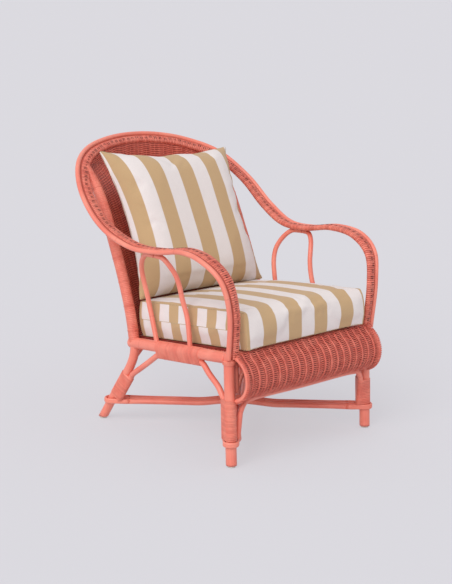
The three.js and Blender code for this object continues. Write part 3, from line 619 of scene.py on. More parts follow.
@dataclass(frozen=True)
class Chair:
    """The driving sizes of the chair in millimetres and the centre lines that follow from them."""

    front_half_track: float = 285.0
    rear_half_track: float = 270.0
    seat_depth: float = 467.0
    front_rail: float = 329.0
    rear_rail: float = 281.0
    rail_diameter: float = 35.0
    cross_rail_diameter: float = 30.0
    rear_rail_bow: float = 40.0
    clearance: float = 0.3
    front_leg_diameter: float = 33.0
    front_leg_lean: float = 11.0
    inner_pole_diameter: float = 17.0
    rear_leg_diameter: float = 29.0
    rear_foot_set_back: float = 160.0
    rear_foot_flare: float = 13.0
    glide_height: float = 6.0
    brace_diameter: float = 18.0
    corner_brace_diameter: float = 15.0
    bundle_top: float = 204.0
    rear_bundle_top: float = 176.0
    wrap_thickness: float = 2.0
    stretcher_height: float = 72.0
    stretcher_diameter: float = 17.0
    hoop_height: float = 878.0
    bow_pole_diameter: float = 15.0
    bow_band_thickness: float = 16.0
    bow_width: float = 58.0
    bow_gap: float = 1.2
    post_diameter: float = 35.0
    post_top: float = 0.92
    loop_diameter: float = 15.5
    apron_height: float = 129.0
    apron_bulge: float = 50.0
    apron_rim_diameter: float = 14.0
    apron_thickness: float = 5.0
    apron_rod_diameter: float = 16.0
    apron_top_rod_diameter: float = 13.0
    deck_thickness: float = 8.0
    deck_bar_diameter: float = 20.0

    @property
    def shift(self) -> float:
        """How far back the seat frame's middle lies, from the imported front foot."""
        low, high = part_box("foot_glide_front_left")
        return (low.y + high.y) / 2 / MM + self.seat_depth / 2 + self.front_leg_lean

    @property
    def front(self) -> float:
        """Depth of the front legs' tops."""
        return self.shift - self.seat_depth / 2

    @property
    def rear(self) -> float:
        """Depth of the back posts' feet."""
        return self.shift + self.seat_depth / 2

    def depth(self, share: float) -> float:
        """The depth at a share of the seat's depth."""
        return mix(self.front, self.rear, share)

    def rail_height(self, y: float) -> float:
        """Height of the side rails' centre lines."""
        return mix(self.front_rail, self.rear_rail, (y - self.front) / self.seat_depth)

    def rail_half_track(self, y: float) -> float:
        """Distance of the side rails from the middle."""
        return mix(self.front_half_track, self.rear_half_track, (y - self.front) / self.seat_depth)

    def front_leg(self, z: float) -> np.ndarray:
        """Centre of the right front leg at a height."""
        lean = self.front_leg_lean * (1 - z / self.front_rail)
        return np.array([self.front_half_track, self.front - lean, z])

    def rear_leg_points(self) -> list[np.ndarray]:
        """The right rear leg, from the rail to the foot.

        Returns:
            The points of its centre line.
        """
        shares = [(0, -0.01, 1), (0.02, 0, 0.9), (0.08, 0.038, 0.82), (0.15, 0.119, 0.726),
                  (0.23, 0.219, 0.637), (0.62, 0.606, 0.327), (1, 1, 0), (1.06, 1.08, -0.055)]
        return [np.array([self.rear_half_track + flare * self.rear_foot_flare,
                          self.rear + back * self.rear_foot_set_back,
                          height * self.rear_rail]) for flare, back, height in shares]

    def rear_leg(self, z: float) -> np.ndarray:
        """Centre of the straight lower stretch of the right rear leg.

        Args:
            z: The height.

        Returns:
            The centre.
        """
        points = self.rear_leg_points()
        top, foot = points[4], points[6]
        return top + (foot - top) * (top[2] - z) / (top[2] - foot[2])

    @property
    def rear_leg_tilt(self) -> np.ndarray:
        """Direction of the rear leg, down to the foot."""
        return unit(self.rear_leg(0) - self.rear_leg(self.rear_bundle_top))

    def rear_rail_point(self, across: float) -> np.ndarray:
        """Centre of the bowed rear rail at a share of the half track."""
        back = self.rear + self.rear_rail_bow * (1 - across**2)
        return np.array([across * self.rear_half_track, back, self.rear_rail])

    def apart(self, first: float, second: float) -> float:
        """From centre to centre of two poles, of these diameters, that lie side by side."""
        return (first + second) / 2 + self.clearance

    @property
    def ring_clear(self) -> float:
        """Top of the stretchers' loops round the legs."""
        return self.stretcher_height + self.stretcher_diameter / 2 + self.clearance

    @property
    def bundle_foot(self) -> float:
        """Lowest point of the bundles."""
        return self.ring_clear + self.clearance

    def side_brace_points(self) -> list[np.ndarray]:
        """The right side brace: up the front leg, under the rail and down the rear leg.

        Returns:
            The points of its centre line.
        """
        def beside_front(z: float) -> np.ndarray:
            """Centre of the brace beside the front leg at a height."""
            return self.front_leg(z) + [0, self.apart(self.front_leg_diameter, self.brace_diameter), 0]

        tilt = self.rear_leg_tilt
        away = (unit(np.array([0, tilt[2], -tilt[1]]))
                * self.apart(self.rear_leg_diameter, self.brace_diameter))

        def beside_rear(z: float) -> np.ndarray:
            """Centre of the brace beside the rear leg at a height."""
            return self.rear_leg(z) + away

        def between(start: np.ndarray, end: np.ndarray, share: tuple[float, float]) -> np.ndarray:
            """The point that lies these shares of the way across and up."""
            across, up = share
            return start + (end - start) * [across, across, up]

        drop = self.apart(self.rail_diameter, self.brace_diameter)
        run = [np.array([self.rail_half_track(y), y, self.rail_height(y) - drop])
               for y in map(self.depth, (0.27, 0.36, 0.5, 0.64, 0.73))]
        front_top = beside_front(self.bundle_top - self.brace_diameter / 2)
        rear_top = beside_rear(self.rear_bundle_top)
        rising = [between(front_top, run[0], s) for s in ((0.1, 0.18), (0.24, 0.38), (0.66, 0.71))]
        falling = [between(rear_top, run[-1], s)
                   for s in ((0.85, 0.87), (0.59, 0.62), (0.31, 0.36), (0.06, 0.12))]
        return [beside_front(self.bundle_foot), beside_front((self.bundle_foot + self.bundle_top) / 2),
                front_top, *rising, *run, *falling, rear_top,
                beside_rear((self.rear_bundle_top + self.ring_clear) / 2),
                beside_rear(self.ring_clear + self.brace_diameter / 2)]

    def corner_brace_points(self, foot: np.ndarray, top: np.ndarray) -> list[np.ndarray]:
        """A corner brace from a leg bundle up to a cross rail."""
        shares = ((0, 0), (0.3, 0.42), (0.68, 0.8), (1, 1))
        return [foot + (top - foot) * [across, across, up] for across, up in shares]


class Bow:
    """The long ribbon of arms and hooped back: a smooth pole outside and a wrapped band inside."""

    shares = ((1, -0.03, 0), (1.021, -0.053, 0.265), (1.067, -0.006, 0.429), (1.098, 0.142, 0.515),
              (1.084, 0.343, 0.537), (1.084, 0.587, 0.506), (1.123, 0.844, 0.506),
              (1.182, 1.094, 0.588), (1.165, 1.319, 0.736), (0.993, 1.518, 0.876),
              (0.695, 1.668, 0.951), (0.351, 1.731, 0.989), (0, 1.754, 1))
    width_shares = ((0, 0.76), (0.12, 0.78), (0.25, 1), (0.5, 0.92), (0.7, 0.84), (1, 0.75))
    turn_start = 0.45
    turn_power = 1.75
    hoop_tilt = 47.0
    arm_end = 0.78
    steps = 400

    def __init__(self, chair: Chair) -> None:
        """Draws the centre line.

        Args:
            chair: The chair's sizes.
        """
        self.chair = chair
        half = [np.array([across * chair.front_half_track, chair.front + back * chair.seat_depth,
                          mix(chair.front_rail, chair.hoop_height, rise)])
                for across, back, rise in self.shares]
        left = [p * [-1, 1, 1] for p in half]
        self.line = Path([*left, *half[-2::-1]], detail=40)

    def ribbon(self, u: np.ndarray) -> dict[str, np.ndarray]:
        """The ribbon's frame; u runs 0 to 1 from the left foot to the right.

        Args:
            u: Shares of the whole length.

        Returns:
            Centre, ahead, outward, facing and width at each share.
        """
        u = np.atleast_1d(np.asarray(u, dtype=float))
        side = np.where(u < 0.5, -1.0, 1.0)
        along = 1 - np.abs(2 * u - 1)
        turn = np.maximum(0, (along - self.turn_start) / (1 - self.turn_start))
        angle = np.pi / 2 * turn**self.turn_power
        tilt = math.radians(self.hoop_tilt)
        ahead = self.line.heading(u)
        outward = np.stack([side * np.cos(angle), np.sin(angle) * math.cos(tilt),
                            np.sin(angle) * math.sin(tilt)], axis=1)
        outward = unit(outward - ahead * np.sum(outward * ahead, axis=1, keepdims=True))
        width = np.full(len(u), self.width_shares[0][1])
        for (a, low), (b, high) in zip(self.width_shares, self.width_shares[1:]):
            blend = low + (high - low) * smoothstep(along, a, b)
            width = np.where(along >= a, blend, width)
        return {"centre": self.line.at(u), "ahead": ahead, "outward": outward,
                "facing": np.cross(outward, ahead), "width": width * self.chair.bow_width}

    def place_at_depth(self, y: float) -> float:
        """Where the right armrest passes a depth.

        Args:
            y: The depth.

        Returns:
            The share of the ribbon's length.
        """
        u = np.linspace(1 - self.arm_end / 2, 1 - self.width_shares[2][0] / 2, self.steps)
        depth = self.line.at(u)[:, 1]
        return float(np.interp(y, depth[::-1], u[::-1]))

    def place_at_width(self, x: np.ndarray) -> np.ndarray:
        """Where the right half of the hoop passes a distance from the middle."""
        u = np.linspace(0.5, 1 - self.arm_end / 2, self.steps)
        return np.interp(x, self.line.at(u)[:, 0], u)

    def band_circles(self, width: float) -> tuple[tuple[float, float, float], ...]:
        """The two round edges of the band, across the ribbon.

        Args:
            width: The ribbon's width there.

        Returns:
            Centre u, centre v and radius of each.
        """
        chair = self.chair
        radius = chair.bow_band_thickness / 2
        outer = width / 2 - chair.bow_pole_diameter - chair.bow_gap - radius
        return ((-width / 2 + radius, 0.0, radius), (outer, 0.0, radius))

    def ring(self, ribbon: dict[str, np.ndarray], i: int, outline: np.ndarray) -> np.ndarray:
        """An outline of the ribbon's section set at station i."""
        return ribbon["centre"][i] + spread(outline, ribbon["outward"][i], ribbon["facing"][i])


class StripTree:
    """Geometry Nodes that lay a strip of cane along each wire of a mesh, standing as the wire says."""

    def __init__(self, finish: Finish) -> None:
        """Builds the tree, or finds it.

        Args:
            finish: What the strips are finished in.
        """
        name = f"strips_{type(finish).__name__}"
        self.tree = bpy.data.node_groups.get(name) or self.build(name, finish.material())

    @staticmethod
    def build(name: str, material: bpy.types.Material) -> bpy.types.NodeTree:
        """Adds the nodes to a new tree.

        Args:
            name: The tree's name.
            material: The strips' material.

        Returns:
            The tree.
        """
        tree = bpy.data.node_groups.new(name, "GeometryNodeTree")
        face = tree.interface
        face.new_socket("Geometry", in_out="INPUT", socket_type="NodeSocketGeometry")
        for size in ("Strip Width", "Strip Thickness", "Wave Height"):
            face.new_socket(size, in_out="INPUT", socket_type="NodeSocketFloat")
        face.new_socket("Sides", in_out="INPUT", socket_type="NodeSocketInt")
        face.new_socket("Geometry", in_out="OUTPUT", socket_type="NodeSocketGeometry")
        given = add_node(tree, "NodeGroupInput").outputs
        wires = add_node(tree, "GeometryNodeMeshToCurve", {"Mesh": given["Geometry"]})
        stand = add_node(tree, "GeometryNodeInputNamedAttribute", {"Name": "stand"},
                         data_type="FLOAT_VECTOR")
        wave = add_node(tree, "GeometryNodeInputNamedAttribute", {"Name": "wave"}, data_type="FLOAT")
        height = add_node(tree, "ShaderNodeMath", {
            0: wave.outputs["Attribute"], 1: given["Wave Height"]}, operation="MULTIPLY")
        push = add_node(tree, "ShaderNodeVectorMath", {
            0: stand.outputs["Attribute"], "Scale": height.outputs[0]}, operation="SCALE")
        waved = add_node(tree, "GeometryNodeSetPosition", {
            "Geometry": wires.outputs["Curve"], "Offset": push.outputs["Vector"]})
        stood = add_node(tree, "GeometryNodeSetCurveNormal", {
            "Curve": waved.outputs["Geometry"], "Normal": stand.outputs["Attribute"]}, mode="FREE")
        circle = add_node(tree, "GeometryNodeCurvePrimitiveCircle", {
            "Resolution": given["Sides"], "Radius": 0.5})
        size = add_node(tree, "ShaderNodeCombineXYZ", {
            "X": given["Strip Thickness"], "Y": given["Strip Width"], "Z": 1.0})
        section = add_node(tree, "GeometryNodeTransform", {
            "Geometry": circle.outputs["Curve"], "Scale": size.outputs["Vector"]})
        strip = add_node(tree, "GeometryNodeCurveToMesh", {
            "Curve": stood.outputs["Curve"], "Profile Curve": section.outputs["Geometry"],
            "Fill Caps": True})
        smooth = add_node(tree, "GeometryNodeSetShadeSmooth", {"Geometry": strip.outputs["Mesh"]})
        real = add_node(tree, "GeometryNodeRealizeInstances", {"Geometry": smooth.outputs["Geometry"]})
        painted = add_node(tree, "GeometryNodeSetMaterial", {
            "Geometry": real.outputs["Geometry"], "Material": material})
        add_node(tree, "NodeGroupOutput", {"Geometry": painted.outputs["Geometry"]})
        return tree

    def lay(self, wires: bpy.types.Object, sizes: dict[str, float]) -> bpy.types.Mesh:
        """Runs the tree on an object of wires.

        Args:
            wires: The object whose edges are the wires.
            sizes: The tree's inputs by name.

        Returns:
            The strips as a plain mesh.
        """
        modifier = wires.modifiers.new("strips", "NODES")
        modifier.node_group = self.tree
        for item in self.tree.interface.items_tree:
            if item.item_type == "SOCKET" and item.in_out == "INPUT" and item.name in sizes:
                modifier[item.identifier] = sizes[item.name]
        graph = bpy.context.evaluated_depsgraph_get()
        mesh = bpy.data.meshes.new_from_object(wires.evaluated_get(graph), preserve_all_data_layers=True,
                                               depsgraph=graph)
        wires.modifiers.remove(modifier)
        return mesh


@dataclass
class Wires:
    """Wires in millimetres that strips are laid along, gathered for one piece."""

    points: list[np.ndarray] = field(default_factory=list)
    stands: list[np.ndarray] = field(default_factory=list)
    waves: list[np.ndarray] = field(default_factory=list)
    tints: list[np.ndarray] = field(default_factory=list)
    edges: list[tuple[int, int]] = field(default_factory=list)
    count: int = 0

    def add(self, points: np.ndarray, stands: np.ndarray, tint: float = 0.0, closed: bool = False,
            waves: Optional[np.ndarray] = None) -> None:
        """Adds one wire.

        Args:
            points: Its points.
            stands: At each point, the way that the strip's flat side faces.
            tint: How dark this strip is, 0 to 1.
            closed: Whether it runs back to its first point.
            waves: How far each point is lifted along its stand, in wave heights.
        """
        number = len(points)
        self.points.append(points)
        self.stands.append(unit(np.broadcast_to(stands, points.shape)))
        self.waves.append(np.zeros(number) if waves is None else waves)
        self.tints.append(np.full(number, tint))
        first = self.count
        self.edges += [(first + i, first + i + 1) for i in range(number - 1)]
        if closed:
            self.edges.append((first + number - 1, first))
        self.count += number

    def lay(self, name: str, finish: Finish, width: float, thickness: float, wave: float = 0.0,
            sides: int = 6, body: str = "frame") -> None:
        """Lays strips along all the wires, as one dressed piece.

        Args:
            name: The piece's name.
            finish: What the strips are finished in.
            width: Width of a strip.
            thickness: Thickness of a strip.
            wave: Height of its waves.
            sides: Sides of its section.
            body: The body that the piece rides on.
        """
        mesh = bpy.data.meshes.new(f"{name}_wires")
        mesh.from_pydata((np.concatenate(self.points) * MM).tolist(), self.edges, [])
        stand = mesh.attributes.new("stand", "FLOAT_VECTOR", "POINT")
        stand.data.foreach_set("vector", np.concatenate(self.stands).astype(np.float32).ravel())
        for label, parts in (("wave", self.waves), ("tint", self.tints)):
            set_numbers(mesh, label, np.concatenate(parts))
        wires = linked(f"{name}_wires", mesh)
        laid = StripTree(finish).lay(wires, {
            "Strip Width": width * MM, "Strip Thickness": thickness * MM, "Wave Height": wave * MM,
            "Sides": sides})
        laid.name = name
        bpy.data.objects.remove(wires)
        bpy.data.meshes.remove(mesh)
        dress(linked(name, laid), finish, body)


@dataclass
class Cane:
    """How poles are drawn: fineness, the joints of the cane and its slight swelling there."""

    sides: int = 18
    step: float = 8.0
    joint_pitch: float = 265.0
    first_joint: tuple[float, float] = (0.2, 0.8)
    joint_margin: float = 25.0
    joint_steps: tuple[float, ...] = (-10, -5, -2.5, -1.2, 0, 1.2, 2.5, 5, 10)
    least_step: float = 0.4
    swelling: float = 0.015
    swell_length: float = 9.0
    groove_length: float = 1.6
    groove_depth: float = 0.9
    groove_shade: float = 0.3
    round_end: float = 2.5
    round_share: float = 0.16
    turn_points: int = 14

    def pole(self, name: str, node: str, path: Path, diameter: float, joints: bool = True,
             cut_height: Optional[float] = None) -> None:
        """Draws a round cane pole along a path and dresses it.

        Args:
            name: The piece's name; it also decides where the joints fall.
            node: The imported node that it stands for.
            path: The centre line.
            diameter: Diameter in millimetres.
            joints: Whether the cane's joints show.
            cut_height: Height at which the end of the path is sawn level, if it is.
        """
        random = np.random.default_rng(sum(map(ord, name)))
        length = path.length
        marks = np.linspace(0, length, max(3, round(length / self.step) + 1))
        rings_at = np.arange(random.uniform(*self.first_joint) * self.joint_pitch, length, self.joint_pitch)
        inside = (rings_at > self.joint_margin) & (rings_at < length - self.joint_margin)
        rings_at = rings_at[inside] if joints else rings_at[:0]
        extra = (rings_at[:, None] + self.joint_steps).ravel()
        ends = np.array([0, 1, self.round_end, length - self.round_end, length - 1])
        marks = np.unique(np.concatenate([marks, extra, ends]).round(3))
        marks = marks[np.append(True, np.diff(marks) > self.least_step)]
        points, across, up = path.frames(marks / length)
        away = np.min(np.abs(marks[:, None] - rings_at), axis=1) if len(rings_at) else marks * 0 + 1e3
        swell = 1 + self.swelling * (np.exp(-(away / self.swell_length)**2)
                                     - self.groove_depth * np.exp(-(away / self.groove_length)**2))
        edge = np.minimum(marks, length - marks)
        radius = diameter / 2 * swell * (1 - self.round_share * np.maximum(0, 1 - edge / self.round_end)**2)
        way = round_way(self.sides)
        rings = (points[:, None] + radius[:, None, None]
                 * (way[:, :1] * across[:, None] + way[:, 1:] * up[:, None]))
        dark = self.groove_shade * np.exp(-(away / self.groove_length)**2)
        if cut_height is not None:
            keep = rings[:, :, 2].min(axis=1) > cut_height + 1
            rings, marks, dark = rings[keep], marks[keep], dark[keep]
            ahead = path.heading(marks[-1:] / length)[0]
            fall = (cut_height - rings[-1][:, 2:]) / ahead[2]
            rings = np.concatenate([rings, [rings[-1] + ahead * fall]])
            marks, dark = np.append(marks, marks[-1] + fall.mean()), np.append(dark, self.groove_shade)
        dress(skin(name, rings, marks, ring_values=dark), LacqueredPole(), nodes=[node])

    def turns(self, wires: Wires, path: Path, radius: float, start: float, end: float, pitch: float,
              seed: int = 0, shade: float = 0.2) -> None:
        """Adds turns of strip round a pole.

        Args:
            wires: What they are added to.
            path: The pole's centre line.
            radius: Radius of the turns.
            start: Where they begin, in millimetres along the path.
            end: Where they end.
            pitch: Distance between two turns.
            seed: Seed of their tints.
            shade: How dark the darkest turn is.
        """
        random = np.random.default_rng(seed)
        marks = np.arange(start, end, pitch)
        centre, across, up = path.frames(np.clip(marks / path.length, 0, 1))
        for i in range(len(marks)):
            way = spread(round_way(self.turn_points), across[i], up[i])
            wires.add(centre[i] + radius * way, way, random.uniform(0, shade), closed=True)


@dataclass
class BowDressing:
    """The wrapped band and the smooth outer pole of the bow."""

    chair: Chair
    bow: Bow
    cane: Cane
    strip_pitch: float = 6.6
    strip_width: float = 6.5
    strip_thickness: float = 2.0
    strip_share: float = 0.92
    strip_shade: float = 0.4
    strip_points: int = 18
    core_share: float = 0.9
    core_points: int = 24
    core_rings: int = 170
    pole_rings: int = 240
    inset: float = 2.2
    web: float = 3.0
    listing_pitch: float = 19.0
    listing_width: float = 3.0
    listing_length: float = 10.0
    listing_strip: tuple[float, float] = (1.9, 0.9)
    listing_drift: float = 3.0
    listing_slant: float = 1.5
    listing_rise: float = 0.3
    listing_lengths: tuple[float, float] = (0.6, 1.1)
    listing_shades: tuple[float, float] = (0.6, 1.0)

    def build(self) -> None:
        """Makes the pole, the band's core, its windings and the listing stitches."""
        self.outer_pole()
        self.band_core()
        self.windings()
        self.listing()

    def stations(self, pitch: float, inset: float = 0.0) -> np.ndarray:
        """Shares of the bow's length at a pitch in millimetres."""
        length = self.bow.line.length
        return np.arange(inset, length - inset, pitch) / length

    def circles(self, width: float) -> list[tuple[float, float, float]]:
        """The band's two round edges, with a groove left towards the outer pole, darkened by real shadow and
        by the core's painted-shade web.
        """
        inner, (u, v, r) = self.bow.band_circles(width)
        return [inner, (u - self.inset, v, r)]

    def outer_pole(self) -> None:
        """Makes the smooth pole along the outside of the ribbon."""
        ribbon = self.bow.ribbon(np.linspace(0, 1, self.pole_rings))
        reach = ribbon["width"] / 2 - self.chair.bow_pole_diameter / 2
        line = Path(ribbon["centre"] + ribbon["outward"] * reach[:, None], detail=4)
        self.cane.pole("outer_pole", "bow_outer_pole", line, self.chair.bow_pole_diameter)

    def band_core(self) -> None:
        """Makes the flat core under the windings, with a web into the groove beside the outer pole; its
        middling red is painted half-shade.
        """
        shares = np.linspace(0, 1, self.core_rings)
        ribbon = self.bow.ribbon(shares)
        rings = []
        for i in range(len(shares)):
            circles = [(u, v, r * self.core_share) for u, v, r in self.circles(ribbon["width"][i])]
            reach = circles[1][0] + circles[1][2] + self.inset
            outline = belt([*circles, (reach, 0, self.web)], self.core_points)[0]
            rings.append(self.bow.ring(ribbon, i, outline))
        dress(skin("band_core", np.array(rings), shares * self.bow.line.length), DimCore(),
              nodes=["bow_wrapped_band"])

    def windings(self) -> None:
        """Winds strips square across the band."""
        wires = Wires()
        random = np.random.default_rng(3)
        shares = self.stations(self.strip_pitch, self.strip_pitch / 2)
        ribbon = self.bow.ribbon(shares)
        for i in range(len(shares)):
            circles = [(u, v, r * self.strip_share) for u, v, r in self.circles(ribbon["width"][i])]
            outline, way = belt(circles, self.strip_points)
            wires.add(self.bow.ring(ribbon, i, outline),
                      spread(way, ribbon["outward"][i], ribbon["facing"][i]),
                      random.uniform(0, self.strip_shade), closed=True)
        wires.lay("band_windings", LacqueredStrip(), self.strip_width, self.strip_thickness)

    def listing(self) -> None:
        """Sews the row of short stitches along the band's outer face, in deep red as painted shade of the
        slots between the wound strips.
        """
        wires = Wires()
        random = np.random.default_rng(8)
        shares = self.stations(self.listing_pitch, self.listing_pitch)
        ribbon = self.bow.ribbon(shares)
        lift = self.chair.bow_band_thickness / 2 * self.strip_share + self.strip_thickness / 2
        for i in range(len(shares)):
            (inner, _, _), (outer, _, _) = self.bow.band_circles(ribbon["width"][i])
            for face in (-1, 1):
                middle = (inner + outer) / 2 + random.uniform(-self.listing_drift, self.listing_drift)
                half = self.listing_length / 2 * random.uniform(*self.listing_lengths)
                for shift in (-self.listing_width, self.listing_width):
                    ends = np.array([[middle - half, face * lift],
                                     [middle, face * (lift + self.listing_rise)],
                                     [middle + half, face * lift]])
                    points = self.bow.ring(ribbon, i, ends) + ribbon["ahead"][i] * shift
                    points[2] += ribbon["ahead"][i] * random.uniform(-self.listing_slant, self.listing_slant)
                    wires.add(points, ribbon["facing"][i] * face, random.uniform(*self.listing_shades))
        # The stitches take the deep red painted-shade finish, darker still by their tints.
        wires.lay("band_listing", ShadedCore(), *self.listing_strip)


@dataclass
class SeatFrame:
    """Legs, rails, posts and braces under and behind the seat."""

    chair: Chair
    bow: Bow
    cane: Cane
    corner_reach: float = 0.66
    wound_depth: float = 0.7
    winding_sink: float = 0.6
    winding_ends: tuple[float, float] = (4.0, 6.0)
    winding_pitch: float = 5.6
    winding_strip: tuple[float, float] = (5.7, 1.2)
    winding_shade: float = 0.1
    ring_pitch: float = 78.0
    ring_margin: float = 40.0
    ring_rise: float = 0.2
    ring_strip: tuple[float, float] = (3.0, 1.4)

    def post_path(self) -> Path:
        """Centre line of the right back post.

        Returns:
            The centre line, from the rail up to the hoop.
        """
        chair = self.chair
        shares = ((0, 0), (0.05, 0.13), (0.119, 0.247), (0.254, 0.419), (0.373, 0.547),
                  (0.56, 0.74), (0.73, 0.868), (0.95, 0.968))
        top = self.bow.line.at(self.bow.place_at_width(chair.post_top * chair.front_half_track))
        return Path([[mix(chair.rear_half_track, top[0], rise**2), mix(chair.rear, top[1], lean),
                      mix(chair.rear_rail, top[2], rise)] for lean, rise in shares])

    def side_paths(self) -> dict[str, tuple[Path, float, Optional[float]]]:
        """Centre line, diameter and sawn height of each right-hand pole, by the node's name.

        Returns:
            The three for each node; a pole that isn't sawn has None for the height.
        """
        chair = self.chair
        foot = chair.glide_height
        top = chair.front_rail + chair.rail_diameter / 2
        inner_foot = chair.bundle_top + chair.inner_pole_diameter
        inward = np.array([-chair.apart(chair.front_leg_diameter, chair.inner_pole_diameter), 0, 0])
        places = [chair.front + chair.front_leg_diameter / 4, chair.shift,
                  chair.rear + chair.post_diameter / 2]
        rail = [[chair.rail_half_track(y), y, chair.rail_height(y)] for y in places]
        front_foot = chair.front_leg(inner_foot + chair.corner_brace_diameter / 2) + inward
        front_top = np.array([self.corner_reach * chair.front_half_track, chair.front, chair.front_rail])
        rear_foot = chair.rear_leg(chair.rear_bundle_top + chair.corner_brace_diameter / 2)
        rear_top = chair.rear_rail_point(self.corner_reach)
        leg = [chair.front_leg(z) for z in (top, top / 2, foot - 2)]
        inner = [chair.front_leg(z) + inward for z in (inner_foot, (inner_foot + chair.front_rail) / 2,
                                                      chair.front_rail)]
        return {
            "front_leg": (Path(leg), chair.front_leg_diameter, foot),
            "side_rail": (Path(rail), chair.rail_diameter, None),
            "rear_leg": (Path(chair.rear_leg_points()), chair.rear_leg_diameter, foot),
            "back_post": (self.post_path(), chair.post_diameter - 2 * self.wound_depth, None),
            "front_inner_pole": (Path(inner), chair.inner_pole_diameter, None),
            "side_brace": (Path(chair.side_brace_points()), chair.brace_diameter, None),
            "front_brace": (Path(chair.corner_brace_points(front_foot, front_top)),
                            chair.corner_brace_diameter, None),
            "rear_brace": (Path(chair.corner_brace_points(rear_foot, rear_top)),
                           chair.corner_brace_diameter, None),
        }

    def build(self) -> None:
        """Makes the poles of both sides, the cross rails and the windings of the posts."""
        for side in Side:
            for name, (path, diameter, cut) in self.side_paths().items():
                self.cane.pole(f"{name}_cane_{side.word}", f"{name}_{side.word}", path.sided(side), diameter,
                               joints=name != "front_leg", cut_height=cut)
        chair = self.chair
        front = Path([[x * chair.front_half_track, chair.front, chair.front_rail] for x in (-1, 0, 1)])
        rear = Path([chair.rear_rail_point(x) for x in (-1, -0.75, -0.4, 0, 0.4, 0.75, 1)])
        for name, path in (("front_rail", front), ("rear_rail", rear)):
            self.cane.pole(f"{name}_cane", name, path, chair.cross_rail_diameter)
        self.post_windings()

    def post_windings(self) -> None:
        """Winds strips round the back posts, with a raised ring now and then."""
        path, radius = self.post_path(), self.chair.post_diameter / 2
        for side in Side:
            wires, rings, own = Wires(), Wires(), path.sided(side)
            foot, top = self.winding_ends
            self.cane.turns(wires, own, radius - self.winding_sink, foot, path.length - top,
                            self.winding_pitch, seed=side.value + 5, shade=self.winding_shade)
            wires.lay(f"post_windings_{side.word}", LacqueredStrip(), *self.winding_strip)
            for start in np.arange(self.ring_margin, path.length - self.ring_margin, self.ring_pitch):
                self.cane.turns(rings, own, radius + self.ring_rise, start, start + 1, 2)
            rings.lay(f"post_rings_{side.word}", LacqueredStrip(), *self.ring_strip)


@dataclass
class Sleeve:
    """A wound length: places along its middle, two axes across it, each place's circles and its skin."""

    places: np.ndarray
    across: np.ndarray
    up: np.ndarray
    bundles: np.ndarray
    grow: float
    points: int = 26

    @property
    def length(self) -> float:
        """Length of its middle."""
        return float(np.linalg.norm(self.places[-1] - self.places[0]))

    def ring(self, share: float, inset: float) -> tuple[np.ndarray, np.ndarray]:
        """Points round it at a share of its length, so far under its skin, and their ways outwards.

        Args:
            share: 0 at its first place, 1 at its last.
            inset: How far under its skin.

        Returns:
            The points and the ways outwards.
        """
        outline, way = belt(part_way(self.bundles, share) + [0, 0, self.grow - inset], self.points)
        return (part_way(self.places, share) + spread(outline, self.across, self.up),
                spread(way, self.across, self.up))


